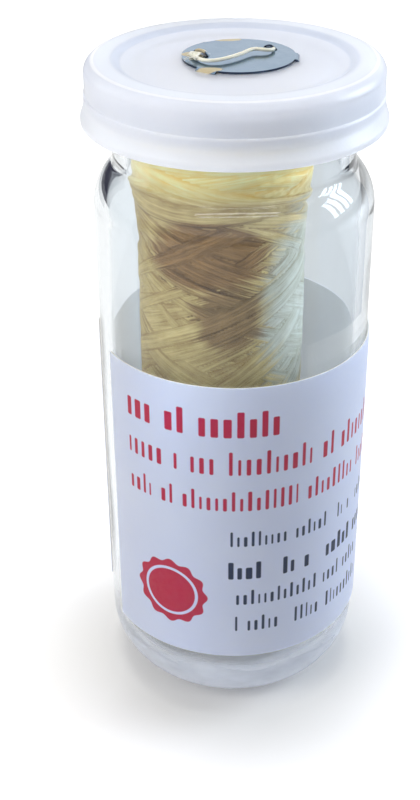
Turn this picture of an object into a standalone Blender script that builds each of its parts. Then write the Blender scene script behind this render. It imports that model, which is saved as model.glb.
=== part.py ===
"""Dental floss dispenser: a glass snap-cap vial with a bobbin of silk floss inside.

The bobbin stands loose in the vial. Its floss runs up through a hole in the plastic snap cap,
comes out of an exit slit in a round steel disc, crosses the disc and ends at the raised cutter
lip. The disc is held by three prongs that pass through the cap and are clinched beneath it.

The vial's axis is the Z axis, the vial stands on z = 0, and the side that faces -Y is the front.
"""

import math

import bmesh
import bpy
import numpy as np
from mathutils import Vector
from mathutils.geometry import delaunay_2d_cdt
from mathutils.kdtree import KDTree

MM = 0.001

# Fits between pieces
SEAT_GAP = 0.1 * MM
RIM_CLEARANCE = 0.3 * MM
BORE_CLEARANCE = 0.3 * MM
SNAP_CLEARANCE = 0.4 * MM
BEAD_CLEARANCE = 0.1 * MM
STAND_CLEARANCE = 0.3 * MM
PLUG_CLEARANCE = 0.3 * MM
NECK_STANDOFF = 0.4 * MM
DISC_CLEARANCE = 0.06 * MM
CUT_OVERRUN = 1.0 * MM
MERGE_DISTANCE = 0.001 * MM

# Glass vial
VIAL_RADIUS = 11.0 * MM
VIAL_WALL = 1.0 * MM
VIAL_HEIGHT = 54.2 * MM
VIAL_FLOOR = 1.6 * MM
HEEL_RADIUS = 5.3 * MM
STANDING_RING = 1.3 * MM
PUSH_UP_DEPTH = 0.5 * MM
SHOULDER_RADIUS = 4.6 * MM
SHOULDER_FILLET = 1.0 * MM
NECK_INSET = 1.6 * MM
NECK_HEIGHT = 6.0 * MM
RIM_REACH = 0.6 * MM
RIM_HEIGHT = 1.9 * MM
RIM_EDGE = 0.6 * MM
BORE_EDGE = 0.4 * MM
VIAL_FACETS = 48

# Paper label
LABEL_BOTTOM = 7.0 * MM
LABEL_HEIGHT = 26.6 * MM
LABEL_PAPER = 0.12 * MM
LABEL_START = math.radians(209)
LABEL_FACETS = 44

# Snap cap
CAP_CREST = 1.2 * MM
CAP_PANEL = 1.0 * MM
CREST_EDGE = 0.9 * MM
CREST_LAND = 1.2 * MM
RECESS_DEPTH = 0.3 * MM
RECESS_EASE = 0.6 * MM
SKIRT_WALL = 0.9 * MM
LEDGE_WIDTH = 0.08 * MM
LEDGE_DROP = 0.08 * MM
BAND_HEIGHT = 0.7 * MM
FLARE_WIDTH = 0.32 * MM
FLARE_HEIGHT = 1.1 * MM
LIP_HEIGHT = 0.47 * MM
LIP_WALL = 0.85 * MM
LIP_EDGE = 0.2 * MM
BEAD_DROP = 0.3 * MM
BEAD_HEIGHT = 0.3 * MM
BEAD_LEAD = 0.7 * MM
GROOVE_EDGE = 0.3 * MM
PLUG_WALL = 0.8 * MM
PLUG_DEPTH = 3.0 * MM
PLUG_TAPER = 0.25 * MM
PLUG_EDGE = 0.25 * MM

# Steel cutter disc
DISC_RADIUS = 4.28 * MM
DISC_SHEET = 0.15 * MM
DISC_FACETS = 48
DISC_SHIFT = (0.3 * MM, 0.5 * MM)
PRONG_COUNT = 3
PRONG_START = math.radians(-3)
PRONG_WIDTH = 1.7 * MM
PRONG_BEND = 0.3 * MM
PRONG_CLINCH = 0.9 * MM
SLOT_CLEARANCE = 0.12 * MM
LANCE_STEPS = 8
LANCE_ROW_SHARES = (0.0, 0.3, 0.65, 1.0)
CUTTER_PLACE_SHARES = (-0.66, 0.05)
CUTTER_TURN = math.radians(-54)
CUTTER_LENGTH = 2.0 * MM
CUTTER_DEPTH = 0.7 * MM
CUTTER_RISE = 0.4 * MM
CUTTER_SLIT = 0.14 * MM
EXIT_PLACE_SHARES = (0.57, 0.42)
EXIT_TURN = math.radians(-50)
EXIT_LENGTH = 1.45 * MM
EXIT_DEPTH = 0.45 * MM
EXIT_RISE = 0.25 * MM
EXIT_SLIT = 0.62 * MM
FLOSS_HOLE_RADIUS = 0.75 * MM

# Bobbin and floss
BOBBIN_PLAY = 1.4 * MM
CORE_RADIUS_SHARE = 4 / 9
CORE_WALL = 0.5 * MM
CORE_REACH = 0.9 * MM
CORE_FOOT = 1.3 * MM
CORE_EDGE = 0.15 * MM
PACKAGE_CROWN = 0.25 * MM
PACKAGE_EDGE = 0.8 * MM
PACKAGE_GAP = 0.3 * MM
RIBBON_WIDTH = 2.6 * MM
RIBBON_END_WIDTH = 0.8 * MM
RIBBON_SPREAD_SHARE = 0.12
RIBBON_THICKNESS_SHARE = 0.08
RIBBON_GAP_SHARE = 0.135
RIBBON_SIDES = 6
TRAVERSES = 7
TURNS_PER_TRAVERSE = 3.375
POINTS_PER_TURN = 24
REVERSAL_SHARE = 0.03
CROWN_SHARE = 0.82
LEAD_TURN = math.radians(31)
STRAND_DIAMETER = 0.28 * MM
LEAD_PULL = 1.6 * MM
LEAD_POINT_COUNT = 14
TAIL_RISE = 0.33 * MM
TAIL_POINT_COUNT = 32

# The tail's route over the disc: x and y as shares of the disc's radius, height as a share of TAIL_RISE
TAIL_ROUTE_SHARES = (
    (0.600, 0.305, -0.60),
    (0.606, 0.292, 0.05),
    (0.612, 0.240, 0.52),
    (0.590, 0.155, 0.62),
    (0.515, 0.095, 0.74),
    (0.413, 0.090, 0.90),
    (0.283, 0.105, 1.00),
    (0.173, 0.005, 1.00),
    (0.063, -0.152, 0.97),
    (-0.044, -0.271, 0.94),
    (-0.152, -0.373, 0.90),
    (-0.279, -0.467, 0.85),
    (-0.386, -0.510, 0.78),
    (-0.492, -0.524, 0.72),
    (-0.578, -0.493, 0.66),
    (-0.655, -0.425, 0.62),
    (-0.720, -0.330, 0.60),
    (-0.755, -0.220, 0.58),
    (-0.757, -0.110, 0.56),
    (-0.730, -0.025, 0.54),
)

# Sizes that follow from those above
NECK_RADIUS = VIAL_RADIUS - NECK_INSET
RIM_RADIUS = NECK_RADIUS + RIM_REACH
BORE_RADIUS = NECK_RADIUS - VIAL_WALL
SHOULDER_REACH = SHOULDER_RADIUS + SHOULDER_FILLET
SHOULDER_SWEEP = math.acos(1 - NECK_INSET / SHOULDER_REACH)
NECK_BASE = VIAL_HEIGHT - NECK_HEIGHT
SHOULDER_BASE = NECK_BASE - SHOULDER_REACH * math.sin(SHOULDER_SWEEP)
RIM_BASE = VIAL_HEIGHT - RIM_HEIGHT

GROOVE_TOP = VIAL_HEIGHT + RIM_CLEARANCE
CAP_TOP = GROOVE_TOP + CAP_CREST
CAP_BASE = RIM_BASE - BEAD_DROP - BEAD_HEIGHT - BEAD_LEAD
PANEL_TOP = CAP_TOP - RECESS_DEPTH
PANEL_UNDERSIDE = PANEL_TOP - CAP_PANEL
GROOVE_RADIUS = RIM_RADIUS + SNAP_CLEARANCE
SKIRT_RADIUS = GROOVE_RADIUS + SKIRT_WALL
PLUG_RADIUS = BORE_RADIUS - BORE_CLEARANCE
PLUG_BASE = PANEL_UNDERSIDE - PLUG_DEPTH

DISC_MIDDLE = PANEL_TOP + DISC_CLEARANCE + DISC_SHEET / 2
DISC_TOP = DISC_MIDDLE + DISC_SHEET / 2
CHORD_RADIUS = math.sqrt(DISC_RADIUS**2 - (PRONG_WIDTH / 2) ** 2)
LEG_RADIUS = CHORD_RADIUS + PRONG_BEND
CLINCH_LEVEL = PANEL_UNDERSIDE - DISC_CLEARANCE - DISC_SHEET / 2

# The bobbin has to pass through the neck, and it ends below the cap's plug.
BOBBIN_LEAN = BOBBIN_PLAY - NECK_STANDOFF
PACKAGE_RADIUS = BORE_RADIUS - BOBBIN_PLAY - PACKAGE_CROWN
CORE_BASE = VIAL_FLOOR + STAND_CLEARANCE
CORE_TOP = PLUG_BASE - PLUG_CLEARANCE
PACKAGE_BOTTOM = CORE_BASE + CORE_FOOT
PACKAGE_TOP = CORE_TOP - CORE_REACH
PACKAGE_LENGTH = PACKAGE_TOP - PACKAGE_BOTTOM
CORE_RADIUS = PACKAGE_RADIUS * CORE_RADIUS_SHARE
PACKAGE_DEPTH = PACKAGE_RADIUS - CORE_RADIUS
RIBBON_THICKNESS = PACKAGE_DEPTH * RIBBON_THICKNESS_SHARE
RIBBON_GAP = PACKAGE_DEPTH * RIBBON_GAP_SHARE
OUTER_LAYER = PACKAGE_RADIUS - RIBBON_THICKNESS / 2
INNER_LAYER = OUTER_LAYER - RIBBON_THICKNESS - RIBBON_GAP
BACKING_RADIUS = INNER_LAYER - RIBBON_THICKNESS / 2 - PACKAGE_GAP


def clear_scene():
    for obj in list(bpy.data.objects):
        bpy.data.objects.remove(obj, do_unlink=True)


def material(name, colour, roughness, metallic=0.0, transmission=0.0, alpha=1.0):
    made = bpy.data.materials.new(name)
    made.use_nodes = True
    shader = made.node_tree.nodes["Principled BSDF"]
    shader.inputs["Base Color"].default_value = (*colour, 1.0)
    shader.inputs["Roughness"].default_value = roughness
    shader.inputs["Metallic"].default_value = metallic
    shader.inputs["Transmission Weight"].default_value = transmission
    shader.inputs["Alpha"].default_value = alpha
    return made


def link(name, data, finish):
    """A new object of this data, in the scene, with its finish."""
    obj = bpy.data.objects.new(name, data)
    bpy.context.scene.collection.objects.link(obj)
    data.materials.append(finish)
    return obj


def arc(centre_r, centre_z, radius, start_deg, end_deg, steps):
    """Points of an arc in the (r, z) plane, both ends included."""
    angles = np.radians(np.linspace(start_deg, end_deg, steps + 1))
    return [(centre_r + radius * math.cos(a), centre_z + radius * math.sin(a)) for a in angles]


def without_repeats(points):
    kept = [points[0]]
    for point in points[1:]:
        if math.dist(point, kept[-1]) > MERGE_DISTANCE:
            kept.append(point)
    return kept


def turned(name, profile, finish, facets=VIAL_FACETS):
    """A solid of revolution: the (r, z) profile, which runs down its outer side, turned round Z."""
    mesh = bpy.data.meshes.new(name)
    points = without_repeats(profile)
    edges = [(i, i + 1) for i in range(len(points) - 1)]
    mesh.from_pydata([(r, 0.0, z) for r, z in points], edges, [])
    obj = link(name, mesh, finish)
    screw = obj.modifiers.new("turn", "SCREW")
    screw.axis = "Z"
    screw.steps = facets
    screw.render_steps = facets
    screw.use_merge_vertices = True
    screw.merge_threshold = MERGE_DISTANCE
    screw.use_smooth_shade = True
    return obj


def cutter(name, mesh):
    """A hidden helper that a Boolean takes away from a piece."""
    obj = bpy.data.objects.new(name, mesh)
    bpy.context.scene.collection.objects.link(obj)
    obj.hide_render = True
    obj.display_type = "WIRE"
    return obj


def cut(obj, tool):
    modifier = obj.modifiers.new("cut " + tool.name, "BOOLEAN")
    modifier.operation = "DIFFERENCE"
    modifier.solver = "EXACT"
    modifier.object = tool


def make_vial(glass):
    """Blown tubing glass: round heel, push-up, sloping shoulder, neck and rolled rim."""
    sweep = math.degrees(SHOULDER_SWEEP)
    shoulder_r = VIAL_RADIUS - SHOULDER_RADIUS
    fillet_r = NECK_RADIUS + SHOULDER_FILLET
    heel_r = VIAL_RADIUS - HEEL_RADIUS
    inner_heel = HEEL_RADIUS - VIAL_WALL
    under = RIM_REACH / 2
    inside = [(0.0, VIAL_FLOOR)]
    inside += arc(heel_r, VIAL_FLOOR + inner_heel, inner_heel, -90, 0, 5)
    inside += arc(shoulder_r, SHOULDER_BASE, SHOULDER_RADIUS - VIAL_WALL, 0, sweep, 4)
    inside += arc(fillet_r, NECK_BASE, SHOULDER_FILLET + VIAL_WALL, 180 + sweep, 180, 3)
    rim = arc(BORE_RADIUS + BORE_EDGE, VIAL_HEIGHT - BORE_EDGE, BORE_EDGE, 180, 90, 3)
    rim += arc(RIM_RADIUS - RIM_EDGE, VIAL_HEIGHT - RIM_EDGE, RIM_EDGE, 90, 0, 3)
    rim += arc(RIM_RADIUS - under, RIM_BASE + under, under, 0, -90, 2)
    rim += arc(NECK_RADIUS + under, RIM_BASE - under, under, 90, 180, 2)
    outside = arc(fillet_r, NECK_BASE, SHOULDER_FILLET, 180, 180 + sweep, 3)
    outside += arc(shoulder_r, SHOULDER_BASE, SHOULDER_RADIUS, sweep, 0, 5)
    outside += arc(heel_r, HEEL_RADIUS, HEEL_RADIUS, 0, -90, 7)
    # The push-up is a shallow dome: its height falls with the square of the radius.
    push_up_r = heel_r - STANDING_RING
    dome = [(push_up_r * share, PUSH_UP_DEPTH * (1 - share**2)) for share in (1.0, 0.8, 0.5, 0.0)]
    vial = turned("glass_vial", inside + rim + outside + dome, glass)
    vial.rotation_euler.z = LABEL_START
    return vial


def make_label(paper):
    """A paper strip round the glass. Its facets follow the vial's, so the gap behind it is even."""
    step = 2 * math.pi / VIAL_FACETS
    angles = [LABEL_START + step * i for i in range(LABEL_FACETS + 1)]
    radius = VIAL_RADIUS + SEAT_GAP
    levels = (LABEL_BOTTOM, LABEL_BOTTOM + LABEL_HEIGHT)
    verts = [(radius * math.cos(a), radius * math.sin(a), z) for z in levels for a in angles]
    row = len(angles)
    faces = [(i, i + 1, row + i + 1, row + i) for i in range(row - 1)]
    mesh = bpy.data.meshes.new("vial_label")
    mesh.from_pydata(verts, [], faces)
    label = link("vial_label", mesh, paper)
    thickness = label.modifiers.new("paper", "SOLIDIFY")
    thickness.thickness = LABEL_PAPER
    thickness.offset = 1.0
    thickness.use_even_offset = True
    return label


def cap_profile():
    """The cap's section: dished panel, rounded crest, stepped and flared skirt, snap bead and hollow plug."""
    recess_r = SKIRT_RADIUS - CREST_EDGE - CREST_LAND
    ledge_r = SKIRT_RADIUS + LEDGE_WIDTH
    flare_r = ledge_r + FLARE_WIDTH
    flare_base = CAP_BASE + LIP_HEIGHT
    flare_top = flare_base + FLARE_HEIGHT
    band_top = flare_top + BAND_HEIGHT
    skirt_base = band_top + LEDGE_DROP
    bead_r = RIM_RADIUS + BEAD_CLEARANCE
    bead_top = RIM_BASE - BEAD_DROP
    bead_base = bead_top - BEAD_HEIGHT
    lip_r = flare_r - LIP_WALL
    plug_inner = PLUG_RADIUS - PLUG_WALL
    outside = [(0.0, PANEL_TOP), (recess_r - RECESS_EASE, PANEL_TOP)]
    outside += [(recess_r - RECESS_EASE / 2, PANEL_TOP + RECESS_DEPTH / 2), (recess_r, CAP_TOP)]
    outside += arc(SKIRT_RADIUS - CREST_EDGE, CAP_TOP - CREST_EDGE, CREST_EDGE, 90, 0, 4)
    outside += [(SKIRT_RADIUS, skirt_base), (ledge_r, band_top), (ledge_r, flare_top)]
    outside += [(flare_r, flare_base)]
    outside += arc(flare_r - LIP_EDGE, CAP_BASE + LIP_EDGE, LIP_EDGE, 0, -90, 2)
    inside = [(lip_r, CAP_BASE), (bead_r, CAP_BASE + BEAD_LEAD), (bead_r, bead_base)]
    inside += [(bead_r, bead_top), (GROOVE_RADIUS, bead_top + BEAD_DROP)]
    inside += arc(GROOVE_RADIUS - GROOVE_EDGE, GROOVE_TOP - GROOVE_EDGE, GROOVE_EDGE, 0, 90, 2)
    plug = [(PLUG_RADIUS, GROOVE_TOP), (PLUG_RADIUS, PLUG_BASE + PLUG_DEPTH / 3)]
    plug += [(PLUG_RADIUS - PLUG_TAPER, PLUG_BASE + PLUG_EDGE)]
    plug += [(PLUG_RADIUS - PLUG_TAPER - PLUG_EDGE, PLUG_BASE), (plug_inner, PLUG_BASE)]
    plug += [(plug_inner, PANEL_UNDERSIDE), (0.0, PANEL_UNDERSIDE)]
    return outside + inside + plug


def box_mesh(name, low, high, turn, centre):
    """A box from low to high, turned about Z by an angle and then moved to a centre."""
    form = bmesh.new()
    bmesh.ops.create_cube(form, size=1.0)
    size = Vector(high) - Vector(low)
    middle = (Vector(high) + Vector(low)) / 2
    bmesh.ops.scale(form, vec=size, verts=form.verts)
    bmesh.ops.translate(form, vec=middle, verts=form.verts)
    spin = Vector((math.cos(turn), math.sin(turn)))
    for vert in form.verts:
        x, y, z = vert.co
        vert.co = (
            centre[0] + x * spin.x - y * spin.y,
            centre[1] + x * spin.y + y * spin.x,
            centre[2] + z,
        )
    mesh = bpy.data.meshes.new(name)
    form.to_mesh(mesh)
    form.free()
    return mesh


def prong_angles():
    return [PRONG_START + 2 * math.pi * i / PRONG_COUNT for i in range(PRONG_COUNT)]


def exit_mouth():
    """The middle of the exit slit's window in the disc, in x and y: the floss comes up here."""
    across = Vector((math.sin(EXIT_TURN), -math.cos(EXIT_TURN)))
    place = Vector(EXIT_PLACE_SHARES) * DISC_RADIUS
    return Vector(DISC_SHIFT) + place + across * EXIT_SLIT / 2


def make_cap(plastic):
    cap = turned("snap_cap", cap_profile(), plastic)
    half_width = PRONG_WIDTH / 2 + SLOT_CLEARANCE
    half_depth = DISC_SHEET / 2 + SLOT_CLEARANCE
    bottom = PANEL_UNDERSIDE - CUT_OVERRUN
    top = PANEL_TOP + CUT_OVERRUN
    for number, angle in enumerate(prong_angles()):
        low = (LEG_RADIUS - half_depth, -half_width, bottom)
        high = (LEG_RADIUS + half_depth, half_width, top)
        slot = box_mesh("slot", low, high, angle, (*DISC_SHIFT, 0.0))
        cut(cap, cutter(f"prong_slot_{number}", slot))
    hole = bmesh.new()
    bmesh.ops.create_cone(
        hole,
        cap_ends=True,
        segments=16,
        radius1=FLOSS_HOLE_RADIUS,
        radius2=FLOSS_HOLE_RADIUS,
        depth=top - bottom,
    )
    mouth = exit_mouth()
    bmesh.ops.translate(hole, vec=(mouth.x, mouth.y, (top + bottom) / 2), verts=hole.verts)
    mesh = bpy.data.meshes.new("floss_hole")
    hole.to_mesh(mesh)
    hole.free()
    cut(cap, cutter("floss_hole", mesh))
    return cap


def lance(place_shares, turn, length, depth, rise, slit):
    """A lanced lip, as (points, loops, window test).

    Along the slit, t runs from -1 to 1. The metal behind the slit is pushed up: on the slit its
    height is rise * (1 - t * t), and it falls to nothing at the hinge, an arc that bulges by
    depth. The other side of the slit is cut back in an arc that bulges by slit.
    """
    place = Vector(place_shares) * DISC_RADIUS
    along = Vector((math.cos(turn), math.sin(turn)))
    behind = Vector((-along.y, along.x))
    steps = np.linspace(-1, 1, LANCE_STEPS + 1)
    points = []
    loops = []
    for share in LANCE_ROW_SHARES:
        row = []
        for t in steps:
            bulge = 1 - t * t
            if share > 0 and bulge < 1e-9:
                row.append(loops[0][0] if t < 0 else loops[0][-1])
                continue
            spot = place + along * (t * length / 2) + behind * (depth * share * bulge)
            height = rise * bulge * math.cos(share * math.pi / 2) ** 2
            row.append(len(points))
            points.append((spot.x, spot.y, height))
        loops.append(row)
    cut_back = [loops[0][0]]
    for t in steps[1:-1]:
        spot = place + along * (t * length / 2) - behind * (slit * (1 - t * t))
        cut_back.append(len(points))
        points.append((spot.x, spot.y, 0.0))
    cut_back.append(loops[0][-1])
    loops.append(cut_back)

    def in_window(x, y):
        offset = Vector((x, y)) - place
        t = offset.dot(along) / (length / 2)
        side = -offset.dot(behind)
        return abs(t) < 1 and 0 < side < slit * (1 - t * t)

    return points, loops, in_window


def disc_rim():
    """The disc's outline as points, with a straight chord at each prong, and the chords' ends."""
    half = math.asin(PRONG_WIDTH / 2 / DISC_RADIUS)
    angles = []
    chords = []
    for start in prong_angles():
        chords.append((len(angles), start))
        span = 2 * math.pi / PRONG_COUNT - 2 * half
        count = DISC_FACETS // PRONG_COUNT
        angles.extend(start + half + span * i / count for i in range(count + 1))
    points = [(DISC_RADIUS * math.cos(a), DISC_RADIUS * math.sin(a), 0.0) for a in angles]
    ends = [(chords[i][0] - 1) % len(angles) for i in range(PRONG_COUNT)]
    return points, [(end, chords[i][0], chords[i][1]) for i, end in enumerate(ends)]


def prong_route():
    """The prong's middle line past its chord, as (outward, height) offsets: bend, leg, clinch."""
    drop = DISC_MIDDLE - CLINCH_LEVEL
    bend = arc(0.0, -PRONG_BEND, PRONG_BEND, 90, 0, 3)[1:]
    clinch = arc(0.0, PRONG_BEND - drop, PRONG_BEND, 0, -90, 3)
    return bend + clinch + [(-PRONG_CLINCH, -drop)]


def make_disc(steel):
    """A punched sheet, modelled as its middle surface and then given its thickness."""
    points, prongs = disc_rim()
    rim_count = len(points)
    edges = [(i, (i + 1) % rim_count) for i in range(rim_count)]
    windows = []
    for made in (
        lance(CUTTER_PLACE_SHARES, CUTTER_TURN, CUTTER_LENGTH, CUTTER_DEPTH, CUTTER_RISE, CUTTER_SLIT),
        lance(EXIT_PLACE_SHARES, EXIT_TURN, EXIT_LENGTH, EXIT_DEPTH, EXIT_RISE, EXIT_SLIT),
    ):
        more, loops, in_window = made
        base = len(points)
        points += more
        for loop in loops:
            edges += [(base + a, base + b) for a, b in zip(loop, loop[1:])]
        windows.append(in_window)
    flat = [Vector(p[:2]) for p in points]
    verts, _, faces, origins, _, _ = delaunay_2d_cdt(flat, edges, [], 0, MERGE_DISTANCE)
    form = bmesh.new()
    heights = [points[origin[0]][2] for origin in origins]
    made = [form.verts.new((v.x, v.y, DISC_MIDDLE + h)) for v, h in zip(verts, heights)]
    for face in faces:
        centre = sum((verts[i] for i in face), Vector((0.0, 0.0))) / len(face)
        if not any(in_window(centre.x, centre.y) for in_window in windows):
            form.faces.new([made[i] for i in face])
    placed = {origin[0]: made[i] for i, origin in enumerate(origins)}
    for first, second, angle in prongs:
        outward = Vector((math.cos(angle), math.sin(angle), 0.0))
        last = (placed[first], placed[second])
        roots = [vert.co.copy() for vert in last]
        for out, height in prong_route():
            offset = outward * out + Vector((0.0, 0.0, height))
            row = [form.verts.new(root + offset) for root in roots]
            form.faces.new((last[0], row[0], row[1], last[1]))
            last = row
    bmesh.ops.recalc_face_normals(form, faces=form.faces)
    mesh = bpy.data.meshes.new("cutter_disc")
    form.to_mesh(mesh)
    form.free()
    disc = link("cutter_disc", mesh, steel)
    disc.location.xy = DISC_SHIFT
    thickness = disc.modifiers.new("sheet", "SOLIDIFY")
    thickness.thickness = DISC_SHEET
    thickness.offset = 0.0
    thickness.use_even_offset = True
    return disc


def make_core(card):
    """The card tube that the floss is wound on. It stands on the vial's floor."""
    bore = CORE_RADIUS - CORE_WALL
    profile = [
        (bore, CORE_BASE),
        (bore, CORE_TOP - CORE_EDGE),
        (bore + CORE_EDGE, CORE_TOP),
        (CORE_RADIUS - CORE_EDGE, CORE_TOP),
        (CORE_RADIUS, CORE_TOP - CORE_EDGE),
        (CORE_RADIUS, CORE_BASE),
        (bore, CORE_BASE),
    ]
    core = turned("bobbin_core", profile, card, facets=32)
    core.location.x = -BOBBIN_LEAN
    return core


def make_backing(silk):
    """The wound floss under the outer turns, as a plain ring with rounded ends."""
    inner = CORE_RADIUS + PACKAGE_GAP
    top = PACKAGE_TOP - PACKAGE_EDGE
    bottom = PACKAGE_BOTTOM + PACKAGE_EDGE
    edge_r = BACKING_RADIUS - PACKAGE_EDGE
    crown = PACKAGE_BOTTOM + PACKAGE_LENGTH * CROWN_SHARE
    profile = [(inner, PACKAGE_BOTTOM), (inner, PACKAGE_TOP)]
    profile += arc(edge_r + PACKAGE_CROWN, top, PACKAGE_EDGE, 90, 0, 3)
    profile += [(BACKING_RADIUS, crown)]
    profile += arc(edge_r, bottom, PACKAGE_EDGE, 0, -90, 3)
    profile += [(inner, PACKAGE_BOTTOM)]
    backing = turned("wound_floss", profile, silk, facets=40)
    backing.location.x = -BOBBIN_LEAN
    return backing


def winding_path():
    """The outer turns' middle line, bottom to top, about the bobbin's own axis, and the ribbon's width.

    The angle grows evenly. The height runs up and down between the package's ends, one traverse
    every TURNS_PER_TRAVERSE turns, and a parabola rounds each reversal. Turns going up lie on the
    outer layer and turns going down on the inner one, and they change layer at the reversals.
    A number of turns that isn't whole sets each pass a quarter turn on from the last one but one.
    The ribbon is pulled narrow at the reversals and spreads to its full width away from them.
    """
    turns = TRAVERSES * TURNS_PER_TRAVERSE
    place = np.linspace(0, TRAVERSES, round(turns * POINTS_PER_TURN) + 1)
    angle = LEAD_TURN + 2 * math.pi * (place - TRAVERSES) * TURNS_PER_TRAVERSE
    traverse = np.clip(np.floor(place), 0, TRAVERSES - 1)
    going_up = traverse % 2 == 0
    done = place - traverse
    nearest = np.minimum(done, 1 - done)
    inner_turn = (place > REVERSAL_SHARE) & (place < TRAVERSES - REVERSAL_SHARE)
    rounded = nearest**2 / (2 * REVERSAL_SHARE) + REVERSAL_SHARE / 2
    nearest = np.where((nearest < REVERSAL_SHARE) & inner_turn, rounded, nearest)
    share = np.where(done < 0.5, nearest, 1 - nearest)
    share = np.where(going_up, share, 1 - share)
    reach = PACKAGE_LENGTH - RIBBON_END_WIDTH
    height = PACKAGE_BOTTOM + RIBBON_END_WIDTH / 2 + reach * share
    # How far the floss has changed layer: 0 inner, 1 outer, with a smooth step at each reversal.
    ease = np.clip(0.5 + np.minimum(done, 1 - done) / (2 * REVERSAL_SHARE), 0, 1)
    ease = np.where(inner_turn, ease * ease * (3 - 2 * ease), 1)
    outer = np.where(going_up, ease, 1 - ease)
    crown = np.clip((share - CROWN_SHARE) / (1 - CROWN_SHARE), 0, 1)
    radius = INNER_LAYER + (OUTER_LAYER - INNER_LAYER) * outer + PACKAGE_CROWN * crown
    points = np.stack([radius * np.cos(angle), radius * np.sin(angle), height], axis=1)
    spread = np.clip((nearest - REVERSAL_SHARE) / RIBBON_SPREAD_SHARE, 0, 1)
    spread = spread * spread * (3 - 2 * spread)
    return points, RIBBON_END_WIDTH + (RIBBON_WIDTH - RIBBON_END_WIDTH) * spread


def ribbon_frame(points):
    """Unit vectors along the ribbon's width and thickness: it lies flat on the package."""
    tangent = np.gradient(points, axis=0)
    radial = points * (1.0, 1.0, 0.0)
    across = np.cross(tangent, radial)
    across /= np.linalg.norm(across, axis=1)[:, None]
    outward = np.cross(across, tangent)
    return across, outward / np.linalg.norm(outward, axis=1)[:, None]


def least_gap(points, width):
    """The least gap that the ribbon leaves to itself, more than half a turn apart.

    It is measured between spots on the ribbon's middle surface, less the thickness of the oval
    section on either side of them.
    """
    across, _ = ribbon_frame(points)
    fine = np.linspace(0, len(points) - 1, (len(points) - 1) * 4 + 1)
    index = np.arange(len(points))
    middle = np.stack([np.interp(fine, index, points[:, i]) for i in range(3)], axis=1)
    side = np.stack([np.interp(fine, index, across[:, i] * width / 2) for i in range(3)], axis=1)
    spots = []
    for share in (-1, -0.5, 0, 0.5, 1):
        half = RIBBON_THICKNESS / 2 * math.sqrt(1 - share**2)
        spots += [(place, point, half) for place, point in zip(fine, middle + side * share)]
    tree = KDTree(len(spots))
    for number, (_, point, _) in enumerate(spots):
        tree.insert(point, number)
    tree.balance()
    least = math.inf
    for place, point, half in spots:
        for _, number, apart in tree.find_range(point, 2 * (RIBBON_THICKNESS + RIBBON_GAP)):
            other_place, _, other_half = spots[number]
            if abs(other_place - place) > POINTS_PER_TURN / 2:
                least = min(least, apart - half - other_half)
    return least


def make_outer_turns(silk):
    """One flat ribbon of silk: an oval section of RIBBON_SIDES sides carried along the winding."""
    points, width = winding_path()
    gap = least_gap(points, width)
    print(f"floss_outer_turns: least gap to itself {gap / MM:.2f} mm")
    across, outward = ribbon_frame(points)
    turn = np.linspace(0, 2 * math.pi, RIBBON_SIDES, endpoint=False)[:, None]
    rings = [
        point + np.cos(turn) * side * wide / 2 + np.sin(turn) * out * RIBBON_THICKNESS / 2
        for point, side, out, wide in zip(points, across, outward, width)
    ]
    faces = [tuple(range(RIBBON_SIDES))[::-1]]
    for ring in range(len(rings) - 1):
        for i in range(RIBBON_SIDES):
            a = ring * RIBBON_SIDES + i
            b = ring * RIBBON_SIDES + (i + 1) % RIBBON_SIDES
            faces.append((a, b, b + RIBBON_SIDES, a + RIBBON_SIDES))
    last = (len(rings) - 1) * RIBBON_SIDES
    faces.append(tuple(range(last, last + RIBBON_SIDES)))
    mesh = bpy.data.meshes.new("floss_outer_turns")
    mesh.from_pydata(np.vstack(rings).tolist(), [], faces)
    form = bmesh.new()
    form.from_mesh(mesh)
    bmesh.ops.recalc_face_normals(form, faces=form.faces)
    form.to_mesh(mesh)
    form.free()
    mesh.shade_smooth()
    turns = link("floss_outer_turns", mesh, silk)
    turns.location.x = -BOBBIN_LEAN
    return turns


def tube(name, points, diameter, sides_resolution, finish):
    curve = bpy.data.curves.new(name, "CURVE")
    curve.dimensions = "3D"
    curve.bevel_depth = diameter / 2
    curve.bevel_resolution = sides_resolution
    curve.use_fill_caps = True
    spline = curve.splines.new("POLY")
    spline.points.add(len(points) - 1)
    spline.points.foreach_set("co", np.c_[points, np.ones(len(points))].ravel())
    return link(name, curve, finish)


def bezier(start, first, second, end, count):
    t = np.linspace(0, 1, count)[:, None]
    start, first, second, end = (np.array(p) for p in (start, first, second, end))
    return (
        start * (1 - t) ** 3
        + 3 * first * t * (1 - t) ** 2
        + 3 * second * t**2 * (1 - t)
        + end * t**3
    )


def smooth_route(points, count):
    """Even points on the smooth (Catmull-Rom) curve through the route's own points."""
    route = np.array(points)
    padded = np.vstack([2 * route[0] - route[1], route, 2 * route[-1] - route[-2]])
    pieces = []
    for a, b, c, d in zip(padded, padded[1:], padded[2:], padded[3:]):
        t = np.linspace(0, 1, 12, endpoint=False)[:, None]
        pieces.append(
            b
            + (c - a) * t / 2
            + (2 * a - 5 * b + 4 * c - d) * t**2 / 2
            + (3 * b - a - 3 * c + d) * t**3 / 2
        )
    fine = np.vstack(pieces + [route[-1:]])
    length = np.r_[0, np.cumsum(np.linalg.norm(np.diff(fine, axis=0), axis=1))]
    even = np.linspace(0, length[-1], count)
    return np.stack([np.interp(even, length, fine[:, i]) for i in range(3)], axis=1)


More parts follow.
